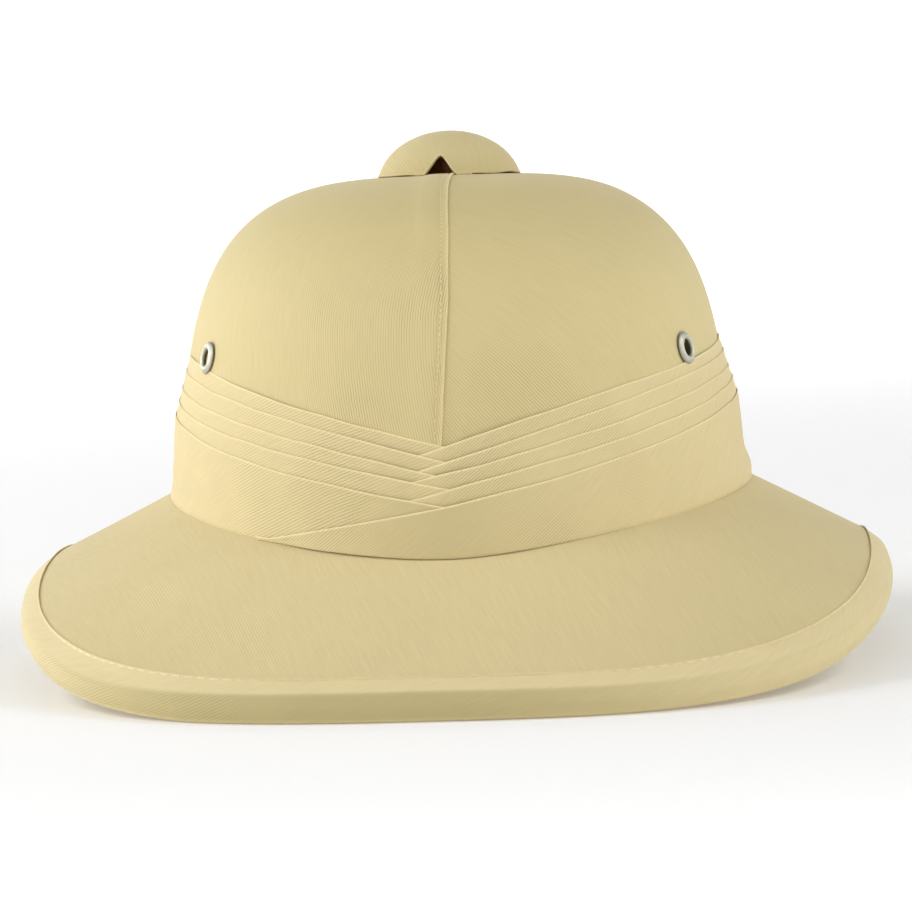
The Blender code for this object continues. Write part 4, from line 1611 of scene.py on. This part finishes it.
class MakeVentCap(HelmetOperator):
    """Build the vent cap and paint its post"""

    bl_idname = "helmet.vent_cap"
    bl_label = "Vent Cap"

    def execute(self, context):
        cloth = context.scene.helmet_cloth
        cap = make_cap(helmet_form(), cloth)
        dress(cap, "cap_cloth", "vent_cap")
        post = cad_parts["cap_post"]
        post.data.materials.clear()
        post.data.materials.append(paint_finish("post_paint", cloth.dark_colour))
        return {"FINISHED"}


class MakeEyelets(HelmetOperator):
    """Set the two metal eyelets in the crown"""

    bl_idname = "helmet.eyelets"
    bl_label = "Eyelets"

    def execute(self, context):
        form = helmet_form()
        material = metal_finish("eyelet_metal", context.scene.helmet_cloth.metal_colour)
        for place in EYELETS:
            dress(make_eyelet(form, place, material), "eyelet_metal", place["node"])
        return {"FINISHED"}


class MakeStage(HelmetOperator):
    """Set up the pale floor, the soft lights and the camera"""

    bl_idname = "helmet.stage"
    bl_label = "Stage"

    def execute(self, context):
        stage = context.scene.helmet_stage
        make_floor(stage)
        make_lights(stage)
        make_camera(stage)
        return {"FINISHED"}


# ---------------------------------------------------------------- stage

def make_floor(stage):
    """A round floor that curves up into a low wall all round."""
    flat, bend, top, sides = 2.8, 0.8, 2.6, 96
    lean = np.linspace(0, math.pi / 2, 13)
    radius = np.concatenate([[0.5, 1.2, 2.0], flat + bend * np.sin(lean), [flat + bend]])
    height = np.concatenate([[0, 0, 0], bend * (1 - np.cos(lean)), [top]])
    phi = np.linspace(0, TURN, sides, endpoint=False)
    rows = in_space(phi, np.stack([pair(r + 0 * phi, z) for r, z in zip(radius, height)]))
    material, value = new_material(
        "floor_paint",
        Roughness=0.9,
        Specular_IOR_Level=0.2,
        Emission_Strength=stage.floor_glow * 2,
    )
    grain = object_place(value).noise(3, 3)
    # The floor and the wall glow by themselves, twice as much from 1.8 m behind the helmet on as near it and in
    # front.
    behind = ((object_place(value).part("Y") - 0.3) / 1.5).clamped()
    fed(
        material,
        Base_Color=grain.mixed(shaded(stage.floor_colour, 0.99), stage.floor_colour),
        Emission_Color=behind.mixed((0.5, 0.5, 0.5), (1, 1, 1)),
    )
    work = Sheetwork()
    first = work.grid(rows[:, ::-1], rows[:, ::-1, :2], around=True)
    work.fan(first, sides, (0, 0, 0), rows[0, ::-1, :2], np.zeros(2), inwards=True)
    work.finish("floor", material)


def add_light(name, place, aim, size, power):
    data = bpy.data.lights.new(name, "AREA")
    data.shape = "RECTANGLE"
    data.size, data.size_y = size
    data.energy = power
    light = add_object(name, data)
    light.location = place
    light.rotation_mode = "QUATERNION"
    light.rotation_quaternion = (Vector(aim) - Vector(place)).to_track_quat("-Z", "Y")
    light.visible_camera = False
    return data


def make_lights(stage):
    for light in LIGHTS:
        power = getattr(stage, light["power"]) * light["share"]
        add_light(light["name"], light["place"], LIGHT_AIM, light["size"], power)
    add_light("backdrop_light", (0, 2.2, 1.6), (0, 3.5, 0.3), (2.4, 0.6), stage.back_power)
    add_light("floor_light", (0, -0.8, 0.55), (0, -0.8, 0), (1.6, 0.5), stage.floor_power).spread = 1.4
    world = bpy.data.worlds.new("studio")
    world.use_nodes = True
    background = world.node_tree.nodes["Background"].inputs
    background["Color"].default_value = (1, 1, 1, 1)
    background["Strength"].default_value = WORLD_STRENGTH
    bpy.context.scene.world = world
    bpy.context.scene.view_settings.view_transform = "Standard"


def make_camera(stage):
    data = bpy.data.cameras.new("camera")
    data.lens = stage.camera_lens
    data.sensor_width = 36
    data.clip_start = 0.05
    data.clip_end = 50
    camera = add_object("camera", data)
    yaw = stage.camera_yaw
    camera.location = (
        stage.camera_distance * math.sin(yaw),
        -stage.camera_distance * math.cos(yaw),
        stage.camera_height,
    )
    aim = Vector((AIM_ACROSS, 0, stage.aim_height))
    look = (aim - camera.location).to_track_quat("-Z", "Y")
    camera.rotation_mode = "QUATERNION"
    camera.rotation_quaternion = look @ Matrix.Rotation(stage.camera_roll, 4, "Z").to_quaternion()
    bpy.context.scene.camera = camera


# ---------------------------------------------------------------- panel

STEPS = (MakeStage, MakeCrown, MakeBrim, MakeBinding, MakeStitches, MakePuggaree, MakeVentCap, MakeEyelets)
GROUPS = (("helmet_sizes", HelmetSizes), ("helmet_cloth", HelmetCloth), ("helmet_stage", HelmetStage))


class HelmetPanel(bpy.types.Panel):
    """Lists the helmet's settings and its pieces"""

    bl_idname = "VIEW3D_PT_helmet"
    bl_label = "Pith Helmet"
    bl_space_type = "VIEW_3D"
    bl_region_type = "UI"
    bl_category = "Helmet"

    def draw(self, context):
        for step in STEPS:
            self.layout.operator(step.bl_idname)
        for attribute, group in GROUPS:
            box = self.layout.box()
            for name in group.__annotations__:
                box.prop(getattr(context.scene, attribute), name)


def register():
    for attribute, group in GROUPS:
        bpy.utils.register_class(group)
        setattr(bpy.types.Scene, attribute, bpy.props.PointerProperty(type=group))
    for step in STEPS:
        bpy.utils.register_class(step)
    bpy.utils.register_class(HelmetPanel)


def unregister():
    bpy.utils.unregister_class(HelmetPanel)
    for step in reversed(STEPS):
        bpy.utils.unregister_class(step)
    for attribute, group in reversed(GROUPS):
        delattr(bpy.types.Scene, attribute)
        bpy.utils.unregister_class(group)


def main():
    register()
    for step in STEPS:
        family, name = step.bl_idname.split(".")
        getattr(getattr(bpy.ops, family), name)()


if __name__ == "__main__":
    main()
